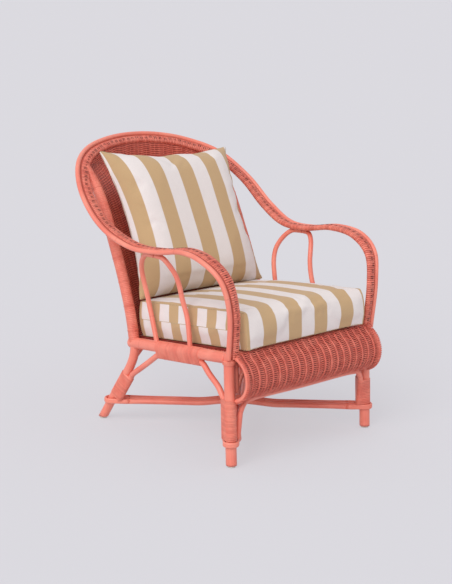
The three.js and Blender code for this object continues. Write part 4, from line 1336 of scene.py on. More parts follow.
@dataclass
class Windings:
    """Cane wound round the leg bundles, the middle of the side rails and the tops of the front legs."""

    chair: Chair
    cane: Cane
    pitch: float = 5.4
    strip_thickness: float = 1.6
    shade: float = 0.2
    rail_shade: float = 0.12
    bound_top: float = 162.0
    places: int = 9
    rod: Optional[Path] = None
    collar_height: float = 12.0
    collar_rise: float = 12.0
    collar_pitch: float = 3.9
    collar_grow: float = 1.6
    rail_shares: tuple[float, float] = (0.275, 0.725)

    def rod_circle(self, beside: np.ndarray) -> tuple[float, float, float]:
        """The apron's bottom rod as a circle beside the right front leg, at that height.

        Args:
            beside: Centre of the leg.

        Returns:
            How far across and back the rod lies, and its radius.
        """
        right = self.rod.dense[self.rod.dense[:, 0] > 0]
        near = right[np.argmin(np.abs(right[:, 2] - beside[2]))] - beside
        return near[0], near[1], self.chair.apron_rod_diameter / 2

    def sleeves(self, side: Side) -> dict[str, tuple]:
        """Places along the middle, two axes and each place's circles of each right-hand sleeve, by node.

        Args:
            side: The side of the chair, as only the right front bundle holds the rod.

        Returns:
            The places, both axes and the circles for each node.
        """
        chair = self.chair
        x, y, z = np.eye(3)
        poles = [chair.front_leg_diameter, chair.rear_leg_diameter, chair.rail_diameter]
        leg, rear_leg, rail_radius = (diameter / 2 for diameter in poles)
        inner, brace = chair.inner_pole_diameter / 2, chair.brace_diameter / 2
        beside, rear_beside, rail_beside = (chair.apart(diameter, chair.brace_diameter) for diameter in poles)
        tilt = chair.rear_leg_tilt
        rear_up = unit(np.array([0, -tilt[2], tilt[1]]))
        rail = [np.array([chair.rail_half_track(d), d, chair.rail_height(d)])
                for d in map(chair.depth, self.rail_shares)]
        collar_top = chair.front_rail - rail_radius + self.collar_rise
        bundle = [(0, 0, leg), (0, beside, brace)]
        top = self.bound_top if side is Side.RIGHT else chair.bundle_top
        places = [chair.front_leg(h) for h in np.linspace(chair.bundle_foot, top, self.places)]
        bundles = [[*bundle, self.rod_circle(place)] if side is Side.RIGHT else bundle for place in places]
        return {
            "front_leg_wrap": (places, x, y, bundles),
            "rear_leg_wrap": (list(map(chair.rear_leg, (chair.ring_clear + rear_leg, chair.rear_bundle_top))),
                              x, rear_up, [[(0, 0, rear_leg), (0, -rear_beside, brace)]]),
            "side_rail_wrap": (rail, x, z, [[(0, 0, rail_radius), (0, -rail_beside, brace)]]),
            "front_leg_collar": ([chair.front_leg(h) for h in (collar_top - self.collar_height, collar_top)],
                                 x, y, [[(0, 0, leg), (-leg - inner - chair.clearance, 0, inner)]]),
        }

    def build(self) -> None:
        """Makes a core and the turns of strip for each sleeve."""
        for side in Side:
            for name, (places, across, up, bundles) in self.sleeves(side).items():
                sleeve = Sleeve(np.array(places) * [side.value, 1, 1], across * side.value, up,
                                np.array(bundles, dtype=float),
                                self.chair.wrap_thickness + self.collar_grow * ("collar" in name))
                self.core(name, side, sleeve)
                self.turns(name, side, sleeve)

    def core(self, name: str, side: Side, sleeve: Sleeve) -> None:
        """Makes the core under a sleeve's turns.

        Args:
            name: The sleeve's node, without its side.
            side: Its side of the chair.
            sleeve: The wound length.
        """
        count = len(sleeve.places)
        rings = np.array([sleeve.ring(share, self.strip_thickness)[0] for share in np.linspace(0, 1, count)])
        dress(skin(f"{name}_core_{side.word}", self.outward(rings), np.linspace(0, sleeve.length, count)),
              LacqueredStrip(), nodes=[f"{name}_{side.word}"])

    def turns(self, name: str, side: Side, sleeve: Sleeve) -> None:
        """Lays a sleeve's turns of strip.

        Args:
            name: The sleeve's node, without its side.
            side: Its side of the chair.
            sleeve: The wound length.
        """
        wires = Wires()
        random = np.random.default_rng(len(name) + side.value)
        pitch = self.collar_pitch if "collar" in name else self.pitch
        shade = self.rail_shade if "rail" in name else self.shade
        for share in np.arange(pitch / 2, sleeve.length, pitch) / sleeve.length:
            points, way = sleeve.ring(share, self.strip_thickness / 2)
            wires.add(points, way, random.uniform(0, shade), closed=True)
        wires.lay(f"{name}_turns_{side.word}", LacqueredStrip(), pitch, self.strip_thickness, sides=8)

    @staticmethod
    def outward(rings: np.ndarray) -> np.ndarray:
        """The rings, turned round if their faces would point inwards.

        Args:
            rings: Stations by points by 3.

        Returns:
            The rings, facing outwards.
        """
        ahead = rings[-1].mean(axis=0) - rings[0].mean(axis=0)
        spoke = rings[0] - rings[0].mean(axis=0)
        turn = np.cross(spoke, np.roll(spoke, -1, axis=0)).sum(axis=0)
        return rings if np.dot(turn, ahead) > 0 else rings[:, ::-1]


@dataclass
class ArmLoops:
    """The two bent poles under each armrest that meet tip to tip."""

    chair: Chair
    bow: Bow
    cane: Cane
    seat: float = 1.5
    front: tuple = ((0, 0.387, 0), (-0.32, 0.446, 0.36), (-0.25, 0.488, 0.55), (-0.12, 0.508, 0.7),
                    (0.15, 0.522, 0.81), (0.6, 0.551, 0.92), (0.87, 0.586, 0.985), (1, 0.626, 1))
    rear: tuple = ((0, 0.737, 0), (-0.18, 0.83, 0.36), (-0.13, 0.853, 0.5), (0.02, 0.872, 0.65),
                   (0.28, 0.87, 0.78), (0.62, 0.831, 0.9), (0.88, 0.766, 0.985), (1, 0.699, 1))
    tips: tuple[float, float] = (0.654, 0.663)

    def path(self, shares: tuple, tip_share: float) -> Path:
        """Centre line of a right-hand loop pole, from the rail to its tip under the arm.

        Args:
            shares: How far out, back and up each point lies.
            tip_share: How far back the tip lies.

        Returns:
            The centre line.
        """
        chair = self.chair
        tip = chair.depth(tip_share)
        arm = self.bow.line.at(self.bow.place_at_depth(tip))
        top = arm[2] - (chair.bow_band_thickness + chair.loop_diameter) / 2 + self.seat
        foot = chair.depth(shares[0][1])
        foot_x, foot_z = chair.rail_half_track(foot), chair.rail_height(foot)
        points = [[mix(foot_x, arm[0], out), chair.depth(back), mix(foot_z, top, rise)]
                  for out, back, rise in shares]
        return Path([*points, [arm[0], tip, top]])

    def build(self) -> None:
        """Makes the four poles."""
        for side in Side:
            for end, shares, tip in (("front", self.front, self.tips[0]), ("rear", self.rear, self.tips[1])):
                self.cane.pole(f"loop_cane_{end}_{side.word}", f"arm_loop_{end}_{side.word}",
                               self.path(shares, tip).sided(side), self.chair.loop_diameter)


@dataclass
class Stretchers:
    """The crossed stretchers: each a core between opposite legs and a long loop round both."""

    chair: Chair
    cane: Cane
    crossing: float = 0.16
    lift: float = 0.62
    spread: float = 0.12
    stations: int = 14
    turn_stations: int = 6
    loop_rings: int = 300
    loop_sides: int = 20
    turn_reach: float = 30.0
    turn_fade: float = 1.7
    shaved: float = 0.5
    groove: float = 0.3
    groove_width: float = 0.28

    def ends(self, side: Side) -> tuple[np.ndarray, np.ndarray]:
        """The front and the rear leg's centres that a stretcher joins.

        Args:
            side: The side of its front leg.

        Returns:
            Both centres.
        """
        height = self.chair.stretcher_height
        return (self.chair.front_leg(height) * [side.value, 1, 1],
                self.chair.rear_leg(height) * [-side.value, 1, 1])

    def rise(self, share: float, side: Side) -> float:
        """How far a stretcher passes over or under the other at a share of its length.

        Args:
            share: The share of its length.
            side: The side of its front leg.

        Returns:
            The height, negative where it passes under.
        """
        near = max(0.0, 1 - abs(share - 0.5) / self.crossing)
        smooth = near**3 * (near * (near * 6 - 15) + 10)
        return side.value * self.lift * self.chair.stretcher_diameter * smooth

    def loop(self, side: Side) -> Path:
        """Centre line of the long loop.

        Args:
            side: The side of its front leg.

        Returns:
            The closed centre line.
        """
        chair = self.chair
        front, rear = self.ends(side)
        along = unit(rear - front)
        across = np.cross([0, 0, 1.0], along)
        front_ring = chair.apart(chair.front_leg_diameter, chair.stretcher_diameter)
        rear_ring = front_ring + (chair.front_leg_diameter - chair.rear_leg_diameter) / 2
        spacing = chair.stretcher_diameter + chair.clearance

        def straight(share: float, way: float) -> np.ndarray:
            """A point of one of the loop's straight runs.

            Args:
                share: The share of the run's length.
                way: 1 or -1, the side of the core that the run lies on.

            Returns:
                The point.
            """
            to_front = 1 - smoothstep(np.array(share), 0, self.spread)
            to_rear = smoothstep(np.array(share), 1 - self.spread, 1)
            gap = spacing + to_front * (front_ring - spacing) + to_rear * (rear_ring - spacing)
            return front + (rear - front) * share + across * way * gap + [0, 0, self.rise(share, side)]

        def turn(centre: np.ndarray, radius: float, way: float) -> list[np.ndarray]:
            """Points of the loop's half circle round a leg.

            Args:
                centre: The leg's centre.
                radius: The half circle's radius.
                way: 1 round the rear leg, -1 round the front one.

            Returns:
                The points between its two ends.
            """
            angles = [math.pi * i / self.turn_stations for i in range(1, self.turn_stations)]
            return [centre + across * way * radius * math.cos(a) + along * way * radius * math.sin(a)
                    for a in angles]

        shares = [i / self.stations for i in range(self.stations + 1)]
        return Path([*(straight(s, 1) for s in shares), *turn(rear, rear_ring, 1),
                     *(straight(s, -1) for s in reversed(shares)), *turn(front, front_ring, -1)],
                    closed=True, detail=12)

    def loop_piece(self, side: Side) -> None:
        """Draws the loop from this side's front leg, shaved flat and grooved where it turns round a leg.

        Args:
            side: The side of its front leg.
        """
        chair, path = self.chair, self.loop(side)
        shares = np.arange(self.loop_rings) / self.loop_rings
        points, ahead = path.at(shares), path.heading(shares)
        away = unit(np.cross(ahead, [0.0, 0.0, 1.0]))
        high = np.cross(away, ahead)
        turning = np.zeros(len(shares))
        for centre in self.ends(side):
            near = np.linalg.norm(points - centre, axis=1)
            turning = np.maximum(turning, 1 - smoothstep(near, self.turn_reach,
                                                         self.turn_reach * self.turn_fade))
            outside = np.sign(np.sum(away * (points - centre), axis=1))
            away = np.where((near < 2 * self.turn_reach)[:, None], away * outside[:, None], away)
        radius = chair.stretcher_diameter / 2
        flat = 1 - (1 - self.shaved) * turning
        out, level = round_way(self.loop_sides).T
        groove = 1 - self.groove * turning[:, None] * np.exp(-(level / self.groove_width)**2) * (out > 0)
        inward = -away * (radius * (1 - flat))[:, None]
        rings = (points + inward)[:, None] + radius * (
            (out * groove * flat[:, None])[..., None] * away[:, None]
            + (level * groove)[..., None] * high[:, None])
        dress(skin(f"stretcher_cane_loop_{side.word}", rings, shares * path.length, closed=True),
              LacqueredPole(), nodes=[f"stretcher_loop_{side.word}"])

    def build(self) -> None:
        """Makes both cores and both loops."""
        for side in Side:
            front, rear = self.ends(side)
            shares = [i / self.stations for i in range(self.stations + 1)]
            core = Path([front + (rear - front) * s + [0, 0, self.rise(s, side)] for s in shares])
            self.cane.pole(f"stretcher_cane_core_{side.word}", f"stretcher_core_{side.word}", core,
                           self.chair.stretcher_diameter)
            self.loop_piece(side)


class WovenSheet:
    """A woven skin: stakes one way and strands over and under them the other way."""

    grid_step: float = 0.004
    unevenness: float = 0.06
    strand_shade: float = 0.22
    stake_shade: float = 0.15
    stake_width: float = 2.4
    least_stake_points: int = 24
    ground_cells: tuple[int, int] = (33, 41)
    ground_height: float = 500.0

    def place(self, across: np.ndarray, up: np.ndarray) -> np.ndarray:
        """Points of the middle surface; across runs -1 to 1 and up 0 to 1."""
        raise NotImplementedError

    def grid(self, across: np.ndarray, up: np.ndarray) -> tuple[np.ndarray, np.ndarray]:
        """The middle surface on a grid.

        Args:
            across: Places across.
            up: Places upwards.

        Returns:
            Points and facing directions, up by across by 3.
        """
        a, b = np.meshgrid(across, up)
        step = self.grid_step
        points = self.place(a, b)
        sideways = self.place(np.clip(a + step, -1, 1), b) - self.place(np.clip(a - step, -1, 1), b)
        upwards = self.place(a, np.clip(b + step, 0, 1)) - self.place(a, np.clip(b - step, 0, 1))
        return points, unit(np.cross(sideways, upwards))

    def turned_in(self, points: np.ndarray, facing: np.ndarray,
                  waves: np.ndarray) -> tuple[np.ndarray, np.ndarray, np.ndarray]:
        """A strand's points, facing directions and waves, with its ends as they are."""
        return points, facing, waves

    def weave(self, name: str, finish: Finish, stakes: int, rows: int, steps: int, strand: float,
              stake: float, wave: float, edge: float = 0.0, lift: float = 0.0, fill: float = 0.76,
              pairing: float = 0.24, stake_lift: float = 0.0) -> None:
        """Weaves the sheet and dresses it.

        Args:
            name: Start of the pieces' names.
            finish: The finish.
            stakes: Number of stakes.
            rows: Number of strands.
            steps: Points of a strand between two stakes.
            strand: Thickness of a strand.
            stake: Thickness of a stake.
            wave: How far a strand bends out over a stake.
            edge: Share of the height kept free at both ends.
            lift: How far the weave lies in front of the middle surface.
            fill: Share of a row's height that its strand fills.
            pairing: How far two strands close up between two stakes, so that a hole opens beside them.
            stake_lift: How far the stakes lie in front of the weave.
        """
        random = np.random.default_rng(len(name))
        across = np.linspace(-1, 1, stakes * steps + 1)
        up = np.linspace(edge, 1 - edge, rows)
        points, facing = self.grid(across, up)
        phase = (across + 1) / 2 * stakes * np.pi
        strands = Wires()
        pitch = float(np.linalg.norm(points[1, 0] - points[0, 0]))
        for j in range(rows):
            waves = np.sin(phase + (j % 2) * np.pi) + random.normal(0, self.unevenness, len(across))
            partner = min(j + 1 - 2 * (j % 2), rows - 1)
            closer = (points[partner] - points[j]) * (pairing * np.cos(phase)**2)[:, None]
            row = self.turned_in(points[j] + closer + facing[j] * lift, facing[j], waves)
            strands.add(row[0], row[1], random.uniform(0, self.strand_shade), waves=row[2])
        strands.lay(f"{name}_strands", finish, pitch * fill, strand, wave)
        places = -1 + (2 * np.arange(stakes) + 1) / stakes
        count = max(self.least_stake_points, rows // 3)
        columns, out = self.grid(places, np.linspace(edge / 2, 1 - edge / 2, count))
        stays = Wires()
        for i in range(stakes):
            stays.add(columns[:, i] + out[:, i] * (lift + stake_lift), out[:, i],
                      random.uniform(0, self.stake_shade))
        stays.lay(f"{name}_stakes", finish, stake * self.stake_width, stake, sides=8)

    def ground(self, name: str, node: str, finish: Finish, behind: float, thickness: float) -> None:
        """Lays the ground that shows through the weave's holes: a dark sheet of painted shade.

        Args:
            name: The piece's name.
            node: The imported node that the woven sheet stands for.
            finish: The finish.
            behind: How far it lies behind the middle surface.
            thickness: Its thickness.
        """
        across, up = (np.linspace(start, 1, cells) for start, cells in zip((-1, 0), self.ground_cells))
        points, facing = self.grid(across, up)
        front = points - facing * (behind - thickness / 2)
        back = points - facing * (behind + thickness / 2)
        rings = np.concatenate([front, back[:, ::-1]], axis=1)
        dress(skin(name, rings, up * self.ground_height), finish, nodes=[node])


@dataclass
class Apron(WovenSheet):
    """The woven half-round roll under the front of the seat, on its rods and rims."""

    chair: Chair
    cane: Cane
    rod_reach: float = 60.0
    rod_bend: tuple = ((0, 0), (0.02, 0.35), (0.06, 0.72), (0.35, 0.96), (0.75, 1))
    over_share: float = 0.1
    over_gap: float = 2.2
    over_angles: tuple[float, ...] = (-0.75, -0.2, 0.35, 0.9)
    hem_gap: float = 0.9
    hem_angles: tuple[float, ...] = (35.0, 62.0, 90.0, 118.0)
    skin_points: int = 12
    rim_points: int = 13
    section: Optional[Path] = None

    def profile(self, offset: float, share: np.ndarray) -> tuple[np.ndarray, np.ndarray]:
        """Depths and heights of the half-round from the top, 0, to the foot, 1.

        Args:
            offset: How far outside the skin's middle.
            share: Shares of the way down.

        Returns:
            The depths and the heights.
        """
        chair = self.chair
        half = chair.apron_height / 2
        radius = (half**2 + chair.apron_bulge**2) / (2 * chair.apron_bulge)
        reach = math.asin(half / radius)
        face = chair.front - chair.front_leg_lean / 2 - chair.front_leg_diameter / 2
        top = chair.front_rail + chair.apron_top_rod_diameter / 2 - chair.deck_thickness / 2
        angle = reach - 2 * reach * share
        return (face - chair.apron_bulge + radius - (radius + offset) * np.cos(angle),
                top - half + (radius + offset) * np.sin(angle))

    @property
    def rim_x(self) -> float:
        """Distance of the rims from the middle."""
        return self.chair.front_half_track - self.chair.front_leg_diameter / 4

    @property
    def rod_centre(self) -> tuple[float, float]:
        """Depth and height of the top rod.

        Returns:
            The depth and the height.
        """
        chair = self.chair
        ahead = (chair.cross_rail_diameter + chair.apron_top_rod_diameter) / 2 - chair.clearance
        return (chair.front - ahead,
                chair.front_rail + chair.apron_top_rod_diameter / 2 - chair.deck_thickness / 2)

    def skin_path(self) -> Path:
        """The skin's section: down the half-round and, at its top, back over the top rod.

        Returns:
            The section, from the foot up and over the rod.
        """
        depth, height = self.profile(0, np.linspace(1, self.over_share, self.skin_points))
        y, z = self.rod_centre
        reach = self.chair.apron_top_rod_diameter / 2 + self.over_gap
        over = [(y + reach * math.sin(a), z + reach * math.cos(a)) for a in self.over_angles]
        return Path([(0, d, h) for d, h in [*zip(depth, height), *over]])

    def place(self, across: np.ndarray, up: np.ndarray) -> np.ndarray:
        """Points of the skin; up 1 is the edge under the cushion.

        Args:
            across: Places from -1 at the left edge to 1 at the right.
            up: Places from 0 at the foot to 1 at the top.

        Returns:
            Their points, in the same shape and by 3.
        """
        half = self.rim_x - self.chair.apron_rim_diameter / 2
        section = self.section.at(up)
        return np.stack([across * half, section[..., 1], section[..., 2]], axis=-1)

    def turned_in(self, points: np.ndarray, facing: np.ndarray,
                  waves: np.ndarray) -> tuple[np.ndarray, np.ndarray, np.ndarray]:
        """A strand whose ends turn over the front of the rims.

        Args:
            points: The strand's points.
            facing: The way that it faces at each.
            waves: Its wave at each.

        Returns:
            The three, with both ends turned in.
        """
        radius = self.chair.apron_rim_diameter / 2 + self.hem_gap
        ends = []
        for side, end in ((-1, 0), (1, -1)):
            angles = np.radians(self.hem_angles)[::-side]
            centre = points[end] * [0, 1, 1] + [side * self.rim_x, 0, 0]
            spokes = np.cos(angles)[:, None] * [side, 0, 0] + np.sin(angles)[:, None] * facing[end]
            ends.append((centre + spokes * radius, spokes))
        still = np.zeros(len(self.hem_angles))
        return (np.concatenate([ends[0][0], points[2:-2], ends[1][0]]),
                np.concatenate([ends[0][1], facing[2:-2], ends[1][1]]),
                np.concatenate([still, waves[2:-2], still]))

    def rod_path(self) -> Path:
        """Centre line of the bottom rod, bent down beside both front legs.

        Returns:
            The centre line.
        """
        chair = self.chair
        wrap = chair.front_leg_diameter / 2 + chair.wrap_thickness + chair.clearance
        foot_y, foot_z = (float(v) for v in self.profile(-chair.apron_thickness, np.array(1.0)))
        low = chair.front_half_track - wrap - chair.apron_rod_diameter / 2 - chair.clearance
        leg_y = chair.front_leg(chair.bundle_foot)[1]
        top = foot_z - chair.apron_rod_diameter / 2
        half = [np.array([low - inwards * self.rod_reach, mix(leg_y, foot_y, up),
                          mix(chair.bundle_foot, top, up)]) for inwards, up in self.rod_bend]
        return Path([*half, np.array([0, foot_y, top]), *(p * [-1, 1, 1] for p in half[::-1])])

    def build(self) -> None:
        """Makes the rods and rims and weaves the skin."""
        chair = self.chair
        self.cane.pole("apron_rod_cane", "apron_bottom_rod", self.rod_path(), chair.apron_rod_diameter)
        depth, height = self.profile(0, np.linspace(0, 1, self.rim_points))
        rim = Path(np.stack([np.full(self.rim_points, self.rim_x), depth, height], axis=1))
        for side in Side:
            self.cane.pole(f"apron_rim_cane_{side.word}", f"apron_rim_{side.word}", rim.sided(side),
                           chair.apron_rim_diameter, joints=False)
        rod = Path([[x * self.rim_x, *self.rod_centre] for x in (-1, 0, 1)])
        self.cane.pole("apron_top_rod_cane", "apron_top_rod", rod, chair.apron_top_rod_diameter)
        self.section = self.skin_path()
        # The apron's ground is a deep red sheet of painted shade, seen through the weave's holes.
        self.ground("apron_ground", "apron_panel", ShadedCore(), behind=1.8, thickness=1.2)
        self.weave("apron", WovenStrand(), stakes=20, rows=62, steps=6, strand=2.4, stake=3.2, wave=1.8,
                   edge=0.015, lift=0.8, stake_lift=-0.1)


@dataclass
class BackPanel(WovenSheet):
    """The woven back between the posts, from the rear rail up to the hoop."""

    chair: Chair
    bow: Bow
    post: Path

    def place(self, across: np.ndarray, up: np.ndarray) -> np.ndarray:
        """Points of the barrelled skin.

        Args:
            across: Places from -1 at the left edge to 1 at the right.
            up: Places from 0 at the foot to 1 at the top.

        Returns:
            Their points, in the same shape and by 3.
        """
        chair = self.chair
        shape = across.shape
        across, up = across.ravel(), up.ravel()
        hoop = self.bow.ribbon(self.bow.place_at_width(chair.post_top * chair.front_half_track
                                                       * np.abs(across)))
        tuck = chair.bow_band_thickness / 4 - hoop["width"] / 2
        top = hoop["centre"] + hoop["outward"] * tuck[:, None]
        heights, depths = self.post.dense[:, 2], self.post.dense[:, 1]
        foot_z = chair.rear_rail + chair.cross_rail_diameter / 2
        z = foot_z + (top[:, 2] - foot_z) * up
        bowed = chair.rear_rail_bow * (1 - across**2)
        behind = bowed + (top[:, 1] - np.interp(top[:, 2], heights, depths) - bowed) * up
        x = across * np.interp(z, heights, self.post.dense[:, 0])
        return np.stack([x, np.interp(z, heights, depths) + behind, z], axis=1).reshape(*shape, 3)

    def build(self) -> None:
        """Weaves the skin over a thin ground in painted half-shade."""
        self.ground("back_ground", "back_panel", DimCore(), behind=0, thickness=1.2)
        self.weave("back", WovenStrand(), stakes=16, rows=170, steps=6, strand=2.4, stake=2.2, wave=1.5,
                   edge=0.006, lift=0.3, fill=0.84, stake_lift=-0.6)


@dataclass
class SeatDeck(WovenSheet):
    """The flat woven deck under the seat cushion, on three bars."""

    chair: Chair
    cane: Cane
    bar_shares: tuple[float, float, float] = (0.25, 0.5, 0.75)

    @property
    def slope(self) -> float:
        """Angle of the seat, down to the rear."""
        return math.atan2(self.chair.front_rail - self.chair.rear_rail, self.chair.seat_depth)

    @property
    def drop(self) -> float:
        """Height of the deck's top over the rails' centre lines."""
        return self.chair.rail_diameter / 2 - self.chair.clearance

    def on_seat(self, points: np.ndarray, share: float, lift: float) -> np.ndarray:
        """Lays points made flat, centred on the origin, along the slope of the seat.

        Args:
            points: The flat points.
            share: Where the origin comes to lie along the seat.
            lift: How far over the rails it comes to lie.

        Returns:
            The laid points.
        """
        y = self.chair.depth(share)
        c, s = math.cos(self.slope), math.sin(self.slope)
        x, flat, up = points[..., 0], points[..., 1], points[..., 2] + lift
        return np.stack([x, y + flat * c + up * s, self.chair.rail_height(y) - flat * s + up * c], axis=-1)

    def place(self, across: np.ndarray, up: np.ndarray) -> np.ndarray:
        """Points of the deck's middle.

        Args:
            across: Places from -1 at the left edge to 1 at the right.
            up: Places from 0 at the foot to 1 at the top.

        Returns:
            Their points, in the same shape and by 3.
        """
        chair = self.chair
        half = chair.rear_half_track - chair.rail_diameter / 2
        flat = np.stack([across * half, (up - 0.5) * (chair.seat_depth - chair.cross_rail_diameter),
                         np.zeros_like(across)], axis=-1)
        return self.on_seat(flat, 0.5, self.drop - chair.deck_thickness / 2)

    def build(self) -> None:
        """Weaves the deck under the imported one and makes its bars."""
        chair = self.chair
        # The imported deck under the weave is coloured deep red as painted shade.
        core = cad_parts["seat_deck"]
        core.data.materials.clear()
        core.data.materials.append(ShadedCore().material())
        self.weave("deck", WovenStrand(), stakes=26, rows=44, steps=4, strand=3.2, stake=3.4, wave=2.2,
                   edge=0.01, lift=-3.4)
        for i, share in enumerate(self.bar_shares, 1):
            y = chair.depth(share)
            low = chair.rail_height(y) + self.drop - chair.deck_thickness - chair.clearance
            half = chair.rail_half_track(y)
            bar = Path([[x * half, y, low - chair.deck_bar_diameter / 2] for x in (-1, 0, 1)])
            self.cane.pole(f"seat_bar_cane_{i}", f"seat_bar_{i}", bar, chair.deck_bar_diameter)


@dataclass
class Glides:
    """The four pale plastic feet under the legs."""

    chair: Chair
    sides: int = 28
    profile: tuple = ((0.86, 0), (0.95, 0.08), (1, 0.3), (1, 0.85), (0.97, 0.97), (0.9, 1))

    def build(self) -> None:
        """Turns a glide for each packed one, with rounded edges."""
        way = round_way(self.sides)
        for end in ("front", "rear"):
            for side in Side:
                node = f"foot_glide_{end}_{side.word}"
                low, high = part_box(node)
                middle = (low + high) / 2 / MM
                outs, heights = np.array(self.profile).T * [[(high.x - low.x) / 2 / MM], [high.z / MM]]
                rings = np.array([np.column_stack([way * out + middle.xy, np.full(self.sides, height)])
                                  for out, height in zip(outs, heights)])
                dress(skin(f"glide_{end}_{side.word}", rings, heights), MouldedGlide(), nodes=[node])


@dataclass
class Studio:
    """A plain pale floor, soft light from the left and above, and the camera."""

    camera_place: tuple[float, float, float] = (-2.9149, -3.3525, 1.4278)
    azimuth: float = -41.36
    elevation: float = 12.79
    focal_pixels: float = 1419.0
    image_height: float = 584.0
    sensor: float = 36.0
    floor_size: float = 160.0
    floor_colour: str = "#DCDBE0"
    backdrop_colour: str = "#DAD9DE"
    backdrop_share: float = 0.7
    sky_colour: str = "#E6E4E8"
    sky_strength: float = 0.86
    sun_strength: float = 1.7
    sun_angle: float = 48.0
    sun_azimuth: float = -68.0
    sun_elevation: float = 40.0

    def camera(self) -> None:
        """Sets the camera at the photograph's viewing angle."""
        made = linked("camera", bpy.data.cameras.new("camera"))
        back = direction(self.azimuth, self.elevation)
        right = direction(self.azimuth + 90, 0)
        up = back.cross(right)
        turn = Matrix((right, up, back)).transposed().to_4x4()
        made.matrix_world = Matrix.Translation(self.camera_place) @ turn
        made.data.sensor_width = self.sensor
        made.data.sensor_fit = "AUTO"
        made.data.lens = self.focal_pixels / self.image_height * self.sensor
        made.data.clip_end = 2 * self.floor_size
        bpy.context.scene.camera = made

    def floor(self) -> None:
        """Lays the floor: seamless painted board, pale and matt."""
        half = self.floor_size / 2
        mesh = bpy.data.meshes.new("floor")
        mesh.from_pydata([(-half, -half, 0), (half, -half, 0), (half, half, 0), (-half, half, 0)], [],
                         [(0, 1, 2, 3)])
        board = linked("floor", mesh)
        paint = bpy.data.materials.new("painted_board")
        paint.use_nodes = True
        tree = paint.node_tree
        tree.nodes.clear()
        board_paint = add_node(tree, "ShaderNodeBsdfPrincipled", {
            "Base Color": linear(self.floor_colour), "Roughness": 0.9, "Specular IOR Level": 0.1})
        glow = add_node(tree, "ShaderNodeEmission", {"Color": linear(self.backdrop_colour)})
        ray = add_node(tree, "ShaderNodeLightPath")
        seen = add_node(tree, "ShaderNodeMath", {
            0: ray.outputs["Is Camera Ray"], 1: ray.outputs["Is Glossy Ray"]}, operation="ADD")
        through = add_node(tree, "ShaderNodeMath", {
            0: seen.outputs[0], 1: ray.outputs["Is Transmission Ray"]}, operation="ADD")
        share = add_node(tree, "ShaderNodeMath", {
            0: through.outputs[0], 1: self.backdrop_share}, operation="MULTIPLY")
        both = add_node(tree, "ShaderNodeMixShader", {
            0: share.outputs[0], 1: board_paint.outputs["BSDF"], 2: glow.outputs["Emission"]})
        add_node(tree, "ShaderNodeOutputMaterial", {"Surface": both.outputs["Shader"]})
        mesh.materials.append(paint)

    def light(self) -> None:
        """Lights the scene with a pale sky and one large soft sun."""
        world = bpy.data.worlds.new("studio")
        bpy.context.scene.world = world
        world.use_nodes = True
        ground = world.node_tree.nodes["Background"]
        ground.inputs["Color"].default_value = linear(self.sky_colour)
        ground.inputs["Strength"].default_value = self.sky_strength
        sun = linked("sun", bpy.data.lights.new("sun", "SUN"))
        sun.data.energy = self.sun_strength
        sun.data.angle = math.radians(self.sun_angle)
        towards = direction(self.sun_azimuth, self.sun_elevation)
        sun.rotation_euler = towards.to_track_quat("Z", "Y").to_euler()

    def build(self) -> None:
        """Makes camera, floor and light."""
        self.camera()
        self.floor()
        self.light()
        bpy.context.scene.view_settings.view_transform = "Standard"


class Panel(Enum):
    """The cut panels of a cushion's cover: the axis that each faces and its end of it."""

    LEFT = (0, 0)
    RIGHT = (0, 1)
    FRONT = (1, 0)
    REAR = (1, 1)
    UNDER = (2, 0)
    TOP = (2, 1)


class Block:
    """The surface of a block in cells, as cloth is cut: its points run -1 to 1 in u, v and w."""

    def __init__(self, cells: tuple[int, int, int]) -> None:
        """Sets out points and quads.

        Args:
            cells: Cells along u, v and w.
        """
        self.cells = np.array(cells)
        size = self.cells + 1
        self.steps = np.array([1, size[0], size[0] * size[1]])
        quads, self.panels = [], []
        for panel in Panel:
            axis, end = panel.value
            a, b = (axis + 1) % 3, (axis + 2) % 3
            i, j = (g.ravel() for g in np.meshgrid(np.arange(cells[a]), np.arange(cells[b]), indexing="ij"))
            corners = []
            for da, db in ((0, 0), (1, 0), (1, 1), (0, 1)):
                node = np.zeros((i.size, 3), dtype=int)
                node[:, axis] = end * cells[axis]
                node[:, a], node[:, b] = i + da, j + db
                corners.append(node @ self.steps)
            quads.append(np.stack(corners[::1 if end else -1], axis=1))
            self.panels += [panel] * i.size
        self.numbers, found = np.unique(np.concatenate(quads), return_inverse=True)
        self.quads = found.reshape(-1, 4)
        lattice = self.numbers[:, None] // self.steps % size
        self.uvw = 2 * lattice / self.cells - 1

    def line(self, axis: int, first: float, second: float) -> np.ndarray:
        """Point numbers of a straight line over the surface.

        Args:
            axis: The axis that it runs along.
            first: Its place, -1 to 1, on the axis after that one.
            second: Its place on the last axis.

        Returns:
            The numbers, in order.
        """
        a, b = (axis + 1) % 3, (axis + 2) % 3
        node = np.zeros((self.cells[axis] + 1, 3), dtype=int)
        node[:, axis] = np.arange(self.cells[axis] + 1)
        node[:, a] = round((first + 1) / 2 * self.cells[a])
        node[:, b] = round((second + 1) / 2 * self.cells[b])
        return np.searchsorted(self.numbers, node @ self.steps)


